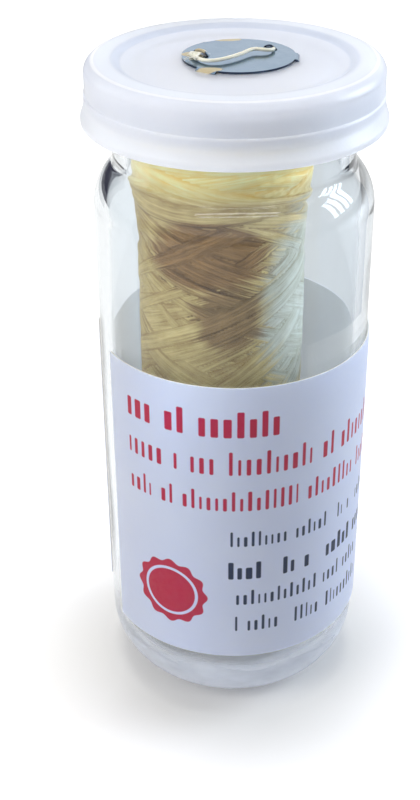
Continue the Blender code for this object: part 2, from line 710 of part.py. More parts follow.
def make_lead(silk):
    """The floss between the bobbin and the cap: it leaves the last turn and rises into the cap's hole."""
    winding, _ = winding_path()
    last = winding[-1] - np.array((BOBBIN_LEAN, 0.0, 0.0))
    onward = winding[-1] - winding[-2]
    onward = onward / np.linalg.norm(onward)
    start = last + onward * STAND_CLEARANCE
    mouth = exit_mouth()
    hole = tail_points()[0] - np.array((0.0, 0.0, SEAT_GAP))
    below = np.array((mouth.x, mouth.y, PANEL_UNDERSIDE - LEAD_PULL))
    points = bezier(start, start + onward * LEAD_PULL, below, hole, LEAD_POINT_COUNT)
    return tube("floss_lead", points, STRAND_DIAMETER, 2, silk)


def tail_points():
    shift_x, shift_y = DISC_SHIFT
    route = [
        (shift_x + x * DISC_RADIUS, shift_y + y * DISC_RADIUS, DISC_TOP + z * TAIL_RISE)
        for x, y, z in TAIL_ROUTE_SHARES
    ]
    return smooth_route(route, TAIL_POINT_COUNT)


def make_tail(silk):
    """The floss on top: out of the exit slit, over the disc and up to the cutter lip."""
    return tube("floss_tail", tail_points(), STRAND_DIAMETER, 2, silk)


def build():
    clear_scene()
    glass = material("clear_glass", (0.93, 0.96, 0.97), 0.03, transmission=1.0, alpha=0.35)
    paper = material("label_paper", (0.74, 0.78, 0.86), 0.55)
    plastic = material("frosted_polyethylene", (0.82, 0.86, 0.92), 0.35, transmission=0.4)
    steel = material("bright_steel", (0.55, 0.62, 0.68), 0.15, metallic=1.0)
    card = material("core_card", (0.72, 0.64, 0.50), 0.85)
    silk = material("waxed_silk", (0.70, 0.62, 0.42), 0.5)
    make_vial(glass)
    make_label(paper)
    make_cap(plastic)
    make_disc(steel)
    make_core(card)
    make_backing(silk)
    make_outer_turns(silk)
    make_lead(silk)
    make_tail(silk)


build()
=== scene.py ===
"""The dressed dental floss dispenser: glass vial, snap cap, cutter disc, label and silk bobbin.

Lengths are millimetres in the shape functions and become metres when a mesh is made. The vial
stands on z = 0 with its axis on Z, and the label's front faces -Y.
"""

import math

import bmesh
import bpy
import numpy as np
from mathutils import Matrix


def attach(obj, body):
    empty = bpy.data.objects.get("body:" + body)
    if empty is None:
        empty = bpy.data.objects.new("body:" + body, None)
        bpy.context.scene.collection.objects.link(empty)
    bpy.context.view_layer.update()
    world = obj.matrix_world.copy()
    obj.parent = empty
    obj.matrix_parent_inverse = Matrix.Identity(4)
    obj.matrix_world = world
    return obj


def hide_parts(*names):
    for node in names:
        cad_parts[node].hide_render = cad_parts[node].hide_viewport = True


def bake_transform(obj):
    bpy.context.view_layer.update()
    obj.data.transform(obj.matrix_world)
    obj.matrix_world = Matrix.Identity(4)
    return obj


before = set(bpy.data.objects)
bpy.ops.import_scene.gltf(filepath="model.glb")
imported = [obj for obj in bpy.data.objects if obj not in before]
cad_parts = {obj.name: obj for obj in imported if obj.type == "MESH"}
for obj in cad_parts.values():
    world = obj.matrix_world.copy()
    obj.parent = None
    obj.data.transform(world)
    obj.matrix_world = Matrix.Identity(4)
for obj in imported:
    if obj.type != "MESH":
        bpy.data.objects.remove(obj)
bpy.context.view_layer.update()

MM = 0.001

# Vial
VIAL_RADIUS = 11.0
VIAL_WALL = 1.0
VIAL_HEIGHT = 54.2
VIAL_FLOOR = 1.6
HEEL_RADIUS = 5.3
PUSH_UP_RADIUS = 4.4
PUSH_UP_DEPTH = 0.5
SHOULDER_RADIUS = 4.6
SHOULDER_FILLET = 1.0
NECK_RADIUS = 9.4
NECK_BASE = 48.2
RIM_RADIUS = 10.0
RIM_HEIGHT = 1.9
RIM_EDGE = 0.6
BORE_EDGE = 0.4
HAZE_BASE = 4.0
HAZE_TOP = 9.0
HAZE_DRIFT = 3.0

# Cap
CAP_BASE = 51.0
CAP_TOP = 55.7
PANEL_TOP = 55.4
PANEL_UNDERSIDE = 54.4
GROOVE_TOP = 54.5
GROOVE_RADIUS = 10.4
SKIRT_RADIUS = 11.3
SKIRT_BASE = 53.35
LEDGE_RADIUS = 11.38
FLARE_TOP = 52.57
FLARE_BASE = 51.47
FLARE_RADIUS = 11.7
FLARE_BEND = 1.4
LIP_WALL = 0.85
LIP_EDGE = 0.2
LIP_INNER_EDGE = 0.15
CREST_EDGE = 0.9
RECESS_RADIUS = 8.6
RECESS_EASE = 0.6
BEAD_RADIUS = 10.1
BEAD_LEAD = 0.7
BEAD_HEIGHT = 0.3
GROOVE_EDGE = 0.3
GROOVE_CORNER = 0.2
PLUG_RADIUS = 8.1
PLUG_BASE = 51.4
PLUG_WALL = 0.8
PLUG_TAPER = 0.25
PLUG_TAPER_RISE = 1.0
PLUG_EDGE = 0.25
PLUG_INNER_EDGE = 0.15
PANEL_FILLET = 0.3

# Label
LABEL_BOTTOM = 7.0
LABEL_TOP = 33.6
LABEL_START = math.radians(209)
LABEL_SPAN = math.radians(330)
LABEL_INSIDE = 11.1
LABEL_OUTSIDE = 11.22
BACK_PATTERN = 100.0
LABEL_GRID = (420, 48)

# Disc and strand
DISC_TOP = 55.61
DISC_RADIUS = 4.28
DISC_SHIFT = (0.3, 0.5)
STRAND_WIDTH = 0.36
STRAND_THICKNESS = 0.27
STRAND_WANDER = 0.12
FRAY_START = 0.84
FRAY_REACH = 0.12
FRAY_WIDER = 1.9
FRAY_THINNER = 0.72
FIBRE_COUNT = 9
FIBRE_WIDTH = 0.055
FIBRE_THICKNESS = 0.045
FIBRE_LIFT = 0.05
LEAD_WIDTH = 0.3
LEAD_FLATNESS = 0.8
LEAD_DROP = 0.4
LEAD_PULL = 1.1
LEAD_RISE = 0.12
LEAD_BELOW = (2.6, 2.1, 52.8)
LEAD_BULGE = (0.3, 0.4, 0.0)

# Bobbin
BOBBIN_LEAN = 1.0
CORE_RADIUS = 3.0
CORE_WALL = 0.5
CORE_EDGE = 0.1
CORE_BOTTOM = 1.9
CORE_TOP = 51.1
PACKAGE_BOTTOM = 3.2
PACKAGE_TOP = 50.2
PACKAGE_RADIUS = 6.75
PACKAGE_CROWN = 0.25
CROWN_START = 0.8
CROWN_REACH = 0.2
BUNDLE_WIDTH = 1.3
BUNDLE_SPREAD = 0.55
BUNDLE_CROWN = 0.05
BUNDLE_WANDER = 0.008
LAYER_RISE = 0.10
PASSES = 64
TURNS_RANGE = (1.8, 4.2)
STEPS_PER_TURN = 72
END_EASE = 0.11
LOOSE_TURNS = 7.4
LOOSE_SWAY = 0.045
LOOSE_WAVES = 5.4
LOOSE_START = 0.88
LOOSE_REACH = 0.08
LOOSE_BULGE = 0.10
LOOSE_CROWN = 4.0
PATTERN_STEP = 7.0
SILK_COLUMNS = 300
SILK_ROWS = 320
SILK_INSIDE = 6.1
END_ROUND = 0.6
UNDER_GAP_INSIDE = 0.05
UNDER_GAP_OUTSIDE = 0.03
UNDER_SETBACK = 0.2
UNDER_CORNER = 0.1
UNDER_EDGE = 1.2
LEAD_TURN = math.radians(31)


# Mesh making


def add_object(name, data):
    obj = bpy.data.objects.new(name, data)
    bpy.context.scene.collection.objects.link(obj)
    return obj


def outward(verts, faces):
    """The faces, turned round if the closed mesh's signed volume is negative."""
    volume = 0.0
    for face in faces:
        a = verts[face[:, 0]]
        for i in range(1, face.shape[1] - 1):
            volume += np.einsum("ij,ij->", a, np.cross(verts[face[:, i]], verts[face[:, i + 1]]))
    return [face[:, ::-1] if volume < 0 else face for face in faces]


def piece(name, verts, faces, uv=None):
    """A smooth-shaded object of these points (millimetres) and closed faces, with its UV per point."""
    verts = np.asarray(verts, float) * MM
    faces = outward(verts, [np.asarray(f) for f in faces if len(f)])
    mesh = bpy.data.meshes.new(name)
    mesh.from_pydata(verts.tolist(), [], [row for face in faces for row in face.tolist()])
    if uv is not None:
        layer = mesh.uv_layers.new(name="Pattern")
        loops = np.empty(len(mesh.loops), np.int32)
        mesh.loops.foreach_get("vertex_index", loops)
        layer.data.foreach_set("uv", np.asarray(uv, np.float32)[loops].ravel())
    mesh.shade_smooth()
    return add_object(name, mesh)


def arc(centre_r, centre_z, radius, start_deg, end_deg, steps=14):
    """Points (r, z) on an arc, both ends included: centre + radius (cos a, sin a)."""
    angles = np.radians(np.linspace(start_deg, end_deg, steps + 1))
    return np.c_[centre_r + radius * np.cos(angles), centre_z + radius * np.sin(angles)]


def rounded(r, z, radius, start_deg, end_deg, steps):
    """The arc that rounds the corner (r, z) of a section."""
    middle = math.radians((start_deg + end_deg) / 2)
    centre_r = r - math.copysign(radius, math.cos(middle))
    centre_z = z - math.copysign(radius, math.sin(middle))
    return arc(centre_r, centre_z, radius, start_deg, end_deg, steps)


def even_profile(spacing, *parts):
    """The parts joined into one profile, with straight runs cut into steps of at most the spacing."""
    points = np.vstack([np.atleast_2d(p) for p in parts])
    points = points[np.r_[True, np.linalg.norm(np.diff(points, axis=0), axis=1) > 1e-4]]
    rows = [points[:1]]
    for a, b in zip(points, points[1:]):
        steps = max(1, int(np.ceil(np.linalg.norm(b - a) / spacing)))
        rows.append(a + (b - a) * np.linspace(0, 1, steps + 1)[1:, None])
    return np.vstack(rows)


def rings(profile, turns, centre_x=0.0):
    """Each point (r, z) of a profile turned round an upright axis: (x + r cos a, r sin a, z)."""
    angle = np.linspace(0, 2 * np.pi, turns, endpoint=False)
    x = centre_x + profile[:, :1] * np.cos(angle)
    return np.stack([x, profile[:, :1] * np.sin(angle), np.repeat(profile[:, 1:], turns, axis=1)], axis=2)


def capped_tube(rows, turns):
    """The faces of a tube of points in rows, closed at each end by a fan round one more point."""
    index = np.arange(rows * turns).reshape(rows, turns)
    after = np.roll(index, -1, axis=1)
    quads = np.stack([index[:-1], after[:-1], after[1:], index[1:]], axis=2).reshape(-1, 4)
    first, last = rows * turns, rows * turns + 1
    start_fan = np.stack([np.full(turns, first), after[0], index[0]], axis=1)
    end_fan = np.stack([np.full(turns, last), index[-1], after[-1]], axis=1)
    return [quads, np.vstack([start_fan, end_fan])]


def turned(name, profile, turns=192):
    """A profile (r, z) that starts and ends on the axis, turned round Z."""
    ring = rings(profile[1:-1], turns)
    verts = np.vstack([ring.reshape(-1, 3), [0, 0, profile[0, 1]], [0, 0, profile[-1, 1]]])
    return piece(name, verts, capped_tube(len(ring), turns))


def turned_ring(name, loop, turns):
    """A closed loop of (r, z) points that stays off the axis, turned round the bobbin's axis."""
    ring = rings(loop, turns, -BOBBIN_LEAN)
    index = np.arange(len(loop) * turns).reshape(-1, turns)
    after = np.roll(index, -1, axis=1)
    below, below_after = np.roll(index, -1, axis=0), np.roll(after, -1, axis=0)
    quads = np.stack([index, after, below_after, below], axis=2).reshape(-1, 4)
    return piece(name, ring.reshape(-1, 3), [quads])


def swept(name, path, up_hint, width, thickness, sides):
    """An oval section carried along a path.

    A point is path + across * (width / 2) cos c + up * (thickness / 2) sin c, with c once round
    the section. The pattern's U runs along the path in millimetres and V once round the section.
    """
    across, up = frame_along(path, up_hint)
    count = len(path)
    c = np.linspace(0, 2 * np.pi, sides, endpoint=False)[:, None]
    width = np.broadcast_to(width, count)[:, None, None]
    thickness = np.broadcast_to(thickness, count)[:, None, None]
    section = path[:, None] + across[:, None] * width / 2 * np.cos(c)
    section = section + up[:, None] * thickness / 2 * np.sin(c)
    verts = np.vstack([section.reshape(-1, 3), path[:1], path[-1:]])
    along = np.r_[0, np.cumsum(np.linalg.norm(np.diff(path, axis=0), axis=1))]
    u = np.repeat(along, sides)
    v = np.tile(np.abs(np.arange(sides) / sides * 2 - 1), count)
    uv = np.vstack([np.c_[u, v], [along[0], 0.5], [along[-1], 0.5]])
    return piece(name, verts, capped_tube(count, sides), uv)


def join(name, objects):
    """One object of several: their points and faces side by side."""
    whole = bmesh.new()
    for obj in objects:
        whole.from_mesh(obj.data)
        bpy.data.meshes.remove(obj.data)
    mesh = bpy.data.meshes.new(name)
    whole.to_mesh(mesh)
    whole.free()
    return add_object(name, mesh)


def smooth_path(points, count):
    """Evenly spaced points on the Catmull-Rom curve through the given ones."""
    route = np.array(points, float)
    route = np.vstack([2 * route[0] - route[1], route, 2 * route[-1] - route[-2]])
    t = np.linspace(0, 1, 16, endpoint=False)[:, None, None]
    a, b, c, d = route[:-3], route[1:-2], route[2:-1], route[3:]
    fine = (
        b
        + (c - a) * t / 2
        + (2 * a - 5 * b + 4 * c - d) * t**2 / 2
        + (3 * b - a - 3 * c + d) * t**3 / 2
    )
    fine = np.vstack([fine.transpose(1, 0, 2).reshape(-1, 3), route[-2:-1]])
    length = np.r_[0, np.cumsum(np.linalg.norm(np.diff(fine, axis=0), axis=1))]
    even = np.linspace(0, length[-1], count)
    return np.stack([np.interp(even, length, fine[:, i]) for i in range(3)], axis=1)


def frame_along(path, up_hint):
    """Unit vectors across and up for a section on a path, with up nearest to the hint."""
    tangent = np.gradient(path, axis=0)
    tangent /= np.linalg.norm(tangent, axis=1)[:, None]
    across = np.cross(tangent, up_hint)
    across /= np.linalg.norm(across, axis=1)[:, None]
    return across, np.cross(across, tangent)


def slow_noise(count, knots, seed):
    """A smooth random run of values from -1 to 1, with that many knots."""
    values = np.random.default_rng(seed).uniform(-1, 1, knots + 3)
    place = np.linspace(0, knots, count)
    i = np.floor(place).astype(int)
    t = place - i
    t = t * t * (3 - 2 * t)
    return values[i] * (1 - t) + values[i + 1] * t


# Materials


class Net:
    """A net of nodes, with short ways to add and join them."""

    def __init__(self, tree):
        self.nodes = tree.nodes
        self.links = tree.links

    def put(self, socket, value):
        if isinstance(value, bpy.types.NodeSocket):
            self.links.new(value, socket)
        elif socket.type == "RGBA":
            socket.default_value = (*value, 1.0)
        else:
            socket.default_value = value

    def node(self, kind, *values, output=0, settings=None, **inputs):
        """A new node's output. Values fill its inputs in order, and named ones by name."""
        made = self.nodes.new(kind)
        for key, value in (settings or {}).items():
            setattr(made, key, value)
        for socket, value in zip(made.inputs, values):
            self.put(socket, value)
        for key, value in inputs.items():
            self.put(made.inputs[key.replace("_", " ")], value)
        return made.outputs[output]

    def math(self, operation, *values):
        return self.node("ShaderNodeMath", *values, settings={"operation": operation})

    def times(self, a, b):
        return self.math("MULTIPLY", a, b)

    def minus(self, a, b):
        return self.math("SUBTRACT", a, b)

    def away_from(self, middle, value):
        return self.math("ABSOLUTE", self.minus(value, middle))

    def diagonal(self, a, b):
        return self.math("SQRT", self.math("MULTIPLY_ADD", a, a, self.times(b, b)))

    def length(self, vector):
        settings = {"operation": "LENGTH"}
        return self.node("ShaderNodeVectorMath", vector, output="Value", settings=settings)

    def parts(self, vector):
        return self.node("ShaderNodeSeparateXYZ", vector).node.outputs

    def mix(self, factor, a, b):
        made = self.node("ShaderNodeMix", factor, settings={"data_type": "RGBA"}).node
        self.put(made.inputs[6], a)
        self.put(made.inputs[7], b)
        return made.outputs[2]

    def scaled(self, place, scale):
        return self.node("ShaderNodeMapping", Vector=place, Scale=scale)

    def object_place(self):
        return self.node("ShaderNodeTexCoord", output="Object")

    def pattern_place(self):
        return self.node("ShaderNodeUVMap", settings={"uv_map": "Pattern"})

    def noise(self, place, scale, detail=3.0, rough=0.5):
        return self.node("ShaderNodeTexNoise", Vector=place, Scale=scale, Detail=detail, Roughness=rough)

    def spread(self, *values):
        """The value moved from the range low to high into 0 to 1, or into a range given too."""
        return self.node("ShaderNodeMapRange", *values)

    def bump(self, height, strength, distance):
        return self.node("ShaderNodeBump", Height=height, Strength=strength, Distance=distance)


class Finish(Net):
    """A material, whose shader is given its settings by name."""

    def __init__(self, name):
        self.material = bpy.data.materials.new(name)
        self.material.use_nodes = True
        super().__init__(self.material.node_tree)
        self.shader = self.nodes["Principled BSDF"]

    def set(self, **values):
        for key, value in values.items():
            self.put(self.shader.inputs[key.replace("_", " ")], value)

    def clear_to_lamps(self, colour):
        """Lets lamp light through, tinted with the colour, while every other ray meets the shader."""
        shadow = self.node("ShaderNodeLightPath", output="Is Shadow Ray")
        clear = self.node("ShaderNodeBsdfTransparent", Color=colour)
        mixed = self.node("ShaderNodeMixShader", shadow, self.shader.outputs[0], clear)
        self.put(self.nodes["Material Output"].inputs[0], mixed)

    def give(self, obj):
        obj.data.materials.clear()
        obj.data.materials.append(self.material)


def glass_finish():
    """Clear tubing glass, slightly wavy where the shoulder was flamed, and milky blue at the heel."""
    glass = Finish("clear_tubing_glass")
    place = glass.object_place()
    waves = glass.noise(glass.scaled(place, (1.0, 1.0, 0.35)), 130.0, detail=1.0)
    haze = glass.noise(glass.scaled(place, (1.0, 1.0, 2.0)), 260.0)
    up = glass.math("MULTIPLY_ADD", haze, HAZE_DRIFT * MM, glass.parts(place)[2])
    heel = glass.spread(up, HAZE_TOP * MM, HAZE_BASE * MM)
    glass.set(
        Base_Color=glass.mix(heel, (0.855, 0.89, 0.915), (0.86, 0.90, 1.0)),
        Roughness=glass.times(heel, 0.12),
        IOR=1.5,
        Transmission_Weight=glass.math("MULTIPLY_ADD", heel, -0.6, 1.0),
        Normal=glass.bump(waves, 0.4, 0.0003),
    )
    glass.clear_to_lamps(glass.mix(heel, (0.93, 0.94, 0.94), (0.35, 0.35, 0.36)))
    return glass


# Rings of painted light and shade on the cap's top: inner and outer radius in millimetres and colour.
# In turn the panel, painted darker than the skirt to offset the light from above, the slope round it
# in painted shade, the crest in painted light and the crest's outer edge as a painted highlight.
CAP_LIGHT_AND_SHADE_RINGS = (
    (0.0, 8.60, (0.765, 0.785, 0.85)),
    (8.55, 9.25, (0.64, 0.68, 0.77)),
    (9.45, 10.35, (0.84, 0.87, 0.93)),
    (10.50, 10.75, (1.0, 1.0, 1.0)),
)
# A ring's tone fades in between these shares of its half width.
RING_FADE = (1.3, 0.7)
# The thin flare at the skirt's foot, painted paler as painted light, and how far that fades, in
# millimetres.
CAP_FLARE_PAINTED_LIGHT = (0.885, 0.90, 0.95)
CAP_FLARE_EDGE = 0.2


def cap_finish():
    """Frosted, slightly bluish polyethylene: fine mould texture, rings of painted light and shade on top
    and a flare painted paler as painted light.
    """
    cap = Finish("frosted_polyethylene")
    place = cap.object_place()
    fine = cap.noise(place, 2600.0, detail=2.0)
    cloud = cap.noise(place, 160.0, detail=4.0)
    cloudy = cap.spread(cloud, 0.35, 0.65)
    colour = cap.mix(cloudy, (0.785, 0.805, 0.86), (0.835, 0.85, 0.90))
    where = cap.parts(place)
    radius = cap.diagonal(where[0], where[1])
    on_top = cap.spread(where[2], (CAP_TOP - 0.5) * MM, (CAP_TOP - 0.35) * MM)
    # The rings paint light and shade onto the top: a darker panel and slope, a lighter crest and a
    # highlight at its edge.
    for inside, outside, tone in CAP_LIGHT_AND_SHADE_RINGS:
        middle, half = (inside + outside) / 2 * MM, (outside - inside) / 2 * MM
        off = cap.away_from(middle, radius)
        ring = cap.times(on_top, cap.spread(off, half * RING_FADE[0], half * RING_FADE[1]))
        colour = cap.mix(ring, colour, tone)
    # The flare at the skirt's foot is painted paler, as painted light.
    above, below = FLARE_TOP + CAP_FLARE_EDGE, FLARE_TOP - CAP_FLARE_EDGE
    colour = cap.mix(cap.spread(where[2], above * MM, below * MM), colour, CAP_FLARE_PAINTED_LIGHT)
    cap.set(
        Base_Color=colour,
        Roughness=cap.spread(cloud, 0.3, 0.7, 0.29, 0.36),
        IOR=1.5,
        Transmission_Weight=0.5,
        Subsurface_Weight=0.6,
        Subsurface_Radius=(1.0, 1.0, 1.0),
        Subsurface_Scale=0.0008,
        Normal=cap.bump(fine, 0.06, 0.0001),
    )
    cap.clear_to_lamps((0.93, 0.93, 0.93))
    return cap


# Smears on the steel: centre and radii of each oval in millimetres, wax at the cut end and painted
# highlights at two places on the edge, by the bends, and how far their ragged edges reach in.
WAX_AND_HIGHLIGHT_SMEARS = (
    ((-3.0, 0.7, 55.7), (0.75, 0.55, 0.6)),
    ((-1.9, -3.1, 55.6), (0.9, 0.4, 0.6)),
    ((-0.6, 4.6, 55.6), (0.9, 0.35, 0.6)),
)
WAX_DEPTH = 1.6


def steel_finish():
    """Bright rolled steel: fine rolling lines, scuffs, a blue-grey tint that is a painted reflection,
    painted shade on the faces that don't face up, a smear of wax at the cut end and painted highlights at
    two places on the edge.
    """
    steel = Finish("rolled_steel")
    place = steel.object_place()
    lines = steel.noise(steel.scaled(place, (1.0, 18.0, 1.0)), 900.0, detail=4.0)
    scuffs = steel.noise(place, 500.0, detail=6.0, rough=0.7)
    scuffed = steel.spread(scuffs, 0.4, 0.7)
    # The blue-grey tint is a painted reflection of a bluish surround.
    colour = steel.mix(scuffed, (0.22, 0.33, 0.46), (0.28, 0.39, 0.52))
    # Faces that don't face up are painted dark: painted shade along the disc's rim, bends and lips.
    facing_up = steel.parts(steel.node("ShaderNodeNewGeometry", output="Normal"))[2]
    edge = steel.spread(steel.math("ABSOLUTE", facing_up), 0.85, 0.4)
    colour = steel.mix(edge, colour, (0.035, 0.05, 0.08))
    # The smear at the cut end is wax; the two on the edge are painted highlights by the bends.
    wax = 0.0
    for centre, radii in WAX_AND_HIGHLIGHT_SMEARS:
        wax = steel.math("MAXIMUM", wax, zone(steel, centre, radii, scuffs, WAX_DEPTH))
    colour = steel.mix(wax, colour, (0.52, 0.44, 0.28))
    steel.set(
        Base_Color=colour,
        Metallic=steel.spread(wax, 0.0, 1.0, 1.0, 0.25),
        Roughness=steel.math("MULTIPLY_ADD", wax, 0.3, steel.spread(scuffs, 0.3, 0.75, 0.05, 0.14)),
        Normal=steel.bump(lines, 0.12, 0.00004),
    )
    return steel


RED_INK = (0.38, 0.006, 0.035)
NAVY_INK = (0.004, 0.012, 0.045)
# Print on the label: ink, the bars' foot, low top and high top and the row's left and right end in
# millimetres, then the bars to a millimetre, the gap between bars, and a seed.
PRINT_ROWS = (
    (RED_INK, 22.15, 23.85, 24.5, 2.4, 15.6, 1.05, 0.40, 1.0),
    (RED_INK, 18.65, 20.15, 20.85, 2.5, 30.0, 1.35, 0.42, 2.0),
    (RED_INK, 15.20, 16.45, 17.10, 2.5, 33.0, 1.55, 0.38, 3.0),
    (NAVY_INK, 11.65, 12.65, 13.15, 11.5, 31.0, 1.80, 0.34, 4.0),
    (NAVY_INK, 8.30, 9.5, 10.05, 11.5, 33.0, 1.35, 0.30, 5.0),
    (NAVY_INK, 5.60, 6.65, 7.15, 11.5, 29.0, 1.75, 0.35, 6.0),
    (NAVY_INK, 2.75, 3.85, 4.35, 11.5, 26.0, 1.75, 0.35, 7.0),
)
SKIP_SHARE = 0.17
LETTER_ROUND = 0.13
LETTER_RANDOMNESS = 0.4
SEED_SHIFT = 17.3
TALL_SHARE = 0.62
INK_EDGE = 0.035
BADGE_CENTRE = (6.4, 6.1)
BADGE_RADIUS = 3.15
BADGE_LOBES = 12
BADGE_LOBE_DEPTH = 0.16
BADGE_RING = 2.35
BADGE_RING_HALVES = (0.10, 0.16)


def label_finish():
    """White coated paper with generic print, red and dark blue: rows of plain bars and a seal."""
    paper = Finish("printed_label_paper")
    place = paper.object_place()
    fibres = paper.noise(place, 2200.0, detail=5.0, rough=0.65)
    tone = paper.spread(paper.noise(place, 90.0), 0.3, 0.7)
    base = paper.mix(tone, (0.495, 0.555, 0.94), (0.535, 0.595, 0.97))
    along, up, _ = paper.parts(paper.pattern_place())
    colour = base
    for ink, *row in PRINT_ROWS:
        colour = paper.mix(print_row(paper, along, up, *row), colour, ink)
    badge, mark = print_badge(paper, along, up)
    colour = paper.mix(badge, colour, RED_INK)
    colour = paper.mix(mark, colour, base)
    back = paper.math("GREATER_THAN", up, BACK_PATTERN / 2)
    colour = paper.mix(back, colour, (0.98, 0.97, 0.98))
    paper.set(
        Base_Color=colour,
        Roughness=paper.spread(fibres, 0.3, 0.7, 0.42, 0.6),
        Subsurface_Weight=1.0,
        Subsurface_Radius=(1.0, 1.0, 1.0),
        Subsurface_Scale=0.0006,
        Normal=paper.bump(fibres, 0.12, 0.00003),
    )
    paper.clear_to_lamps((0.62, 0.62, 0.62))
    return paper


def cells_along(paper, along, per_mm, seed, feature):
    """A 1D cell pattern along the label: DISTANCE_TO_EDGE or F1, with a seed that shifts it."""
    settings = {"voronoi_dimensions": "1D", "feature": feature}
    place = paper.math("MULTIPLY_ADD", along, per_mm, seed * SEED_SHIFT)
    inputs = {"W": place, "Scale": 1.0, "Randomness": LETTER_RANDOMNESS}
    return paper.node("ShaderNodeTexVoronoi", settings=settings, **inputs).node.outputs


def print_row(paper, along, up, foot, low_top, high_top, left, right, letters, gap, seed):
    """1 on a row of upright round-cornered bars, in groups, and 0 around them.

    Each bar fills a cell of a 1D pattern but for the gap. Each cell draws lots: some bars are tall,
    and some are left out, which parts the groups. Inside a bar, with a and b the distances from its
    side and its end, the corner is round where (r - a)^2 + (r - b)^2 passes r^2.
    """
    edge = cells_along(paper, along, letters, seed, "DISTANCE_TO_EDGE")["Distance"]
    cell = cells_along(paper, along, letters, seed, "F1")
    lots = paper.parts(cell["Color"])
    middle = paper.math("DIVIDE", paper.minus(cell["W"], seed * SEED_SHIFT), letters)
    drawn = paper.math("GREATER_THAN", lots[1], SKIP_SHARE)
    drawn = paper.times(drawn, paper.math("GREATER_THAN", middle, left))
    drawn = paper.times(drawn, paper.math("LESS_THAN", middle, right))
    tall = paper.math("GREATER_THAN", lots[0], TALL_SHARE)
    top = paper.math("MULTIPLY_ADD", tall, high_top - low_top, low_top)
    from_side = paper.minus(paper.math("DIVIDE", edge, letters), gap / 2)
    from_end = paper.math("MINIMUM", paper.minus(up, foot), paper.minus(top, up))
    a = paper.math("MAXIMUM", paper.minus(LETTER_ROUND, from_side), 0.0)
    b = paper.math("MAXIMUM", paper.minus(LETTER_ROUND, from_end), 0.0)
    distance = paper.diagonal(a, b)
    bar = paper.spread(distance, LETTER_ROUND - INK_EDGE, LETTER_ROUND + INK_EDGE, 1.0, 0.0)
    return paper.times(bar, drawn)


def print_badge(paper, along, up):
    """A plain seal and the fine ring inside it, each 1 inside and 0 outside.

    The seal's edge is a round of shallow lobes: radius = R + depth cos(lobes a), with a the angle.
    """
    x = paper.minus(along, BADGE_CENTRE[0])
    y = paper.minus(up, BADGE_CENTRE[1])
    distance = paper.diagonal(x, y)
    wave = paper.math("COSINE", paper.times(paper.math("ARCTAN2", y, x), BADGE_LOBES))
    lobed = paper.math("MULTIPLY_ADD", wave, -BADGE_LOBE_DEPTH, distance)
    seal = paper.spread(lobed, BADGE_RADIUS - INK_EDGE, BADGE_RADIUS + INK_EDGE, 1.0, 0.0)
    ring = paper.away_from(BADGE_RING, distance)
    return seal, paper.spread(ring, *BADGE_RING_HALVES, 1.0, 0.0)


def fibre_pattern(silk, streaks):
    """Fine fibres along a bundle, broad drift from bundle to bundle, and the place across it."""
    along, across, _ = silk.parts(silk.pattern_place())
    layers = []
    for stretch, count, detail in ((0.24, streaks, 5.0), (0.06, streaks * 0.2, 2.0)):
        place = silk.times(along, stretch), silk.times(across, count)
        place = silk.node("ShaderNodeCombineXYZ", *place)
        layers.append(silk.noise(place, 1.0, detail=detail, rough=0.65))
    return *layers, across


ZONE_FADE = 0.25
ZONE_BALANCE = 0.7


def zone(silk, centre, radii, ragged, depth):
    """1 inside an oval round the centre (millimetres) and 0 outside, with an edge made ragged.

    The edge fades from the full radii inwards by ZONE_FADE. Where the ragged pattern is 1, depth
    moves it in by that share of the radii, and ZONE_BALANCE keeps the oval's mean size.
    """
    place = silk.node(
        "ShaderNodeMapping",
        Vector=silk.object_place(),
        Scale=tuple(1 / (MM * r) for r in radii),
        Location=tuple(-c / r for c, r in zip(centre, radii)),
    )
    shifted = silk.math("MULTIPLY_ADD", ragged, depth, silk.length(place))
    outside = 1.0 + depth * ZONE_BALANCE
    return silk.spread(shifted, outside, outside - ZONE_FADE)


def waxed(silk, colour, fibres):
    """The shader's settings that all the silk shares: soft gloss of the wax and fine fibre relief."""
    silk.set(
        Base_Color=colour,
        Roughness=silk.spread(fibres, 0.3, 0.7, 0.38, 0.6),
        Specular_IOR_Level=0.35,
        Sheen_Weight=0.08,
        Sheen_Roughness=0.35,
        Subsurface_Weight=0.2,
        Subsurface_Radius=(1.0, 0.8, 0.5),
        Subsurface_Scale=0.0005,
        Normal=silk.bump(fibres, 0.6, 0.00008),
    )


# Where the wound silk changes tone: centre and radii of an oval in millimetres, how ragged its edge
# is, how strong it is, and its dark and light colours. In turn the khaki foot, the grey right side,
# which is painted sheen, two brown patches in front, which are painted shade, and the yellow top,
# which is painted light from above.
SILK_TONE_AND_LIGHT_ZONES = (
    ((-1.0, 0.0, 5.0), (30.0, 30.0, 27.0), 0.3, 1.0, (0.50, 0.33, 0.15), (1.0, 0.81, 0.47)),
    # Painted sheen on the right side.
    ((6.8, -4.0, 37.0), (6.2, 8.0, 10.5), 0.9, 0.9, (0.34, 0.34, 0.25), (0.67, 0.73, 0.68)),
    # Two patches of painted shade in front.
    ((-2.0, -6.6, 42.3), (6.0, 5.0, 3.7), 1.0, 0.95, (0.09, 0.04, 0.010), (0.38, 0.21, 0.078)),
    ((-0.4, -6.9, 37.4), (3.4, 5.0, 3.8), 1.2, 0.85, (0.08, 0.04, 0.013), (0.37, 0.22, 0.09)),
    # Painted light on the loose top, from above.
    ((-1.0, 0.0, 54.0), (30.0, 30.0, 8.2), 0.15, 1.0, (0.97, 0.65, 0.15), (1.0, 0.97, 0.54)),
)
# How much painted shade darkens a bundle at its edges, where it dips into the gap beside it.
PAINTED_EDGE_SHADE = 0.11


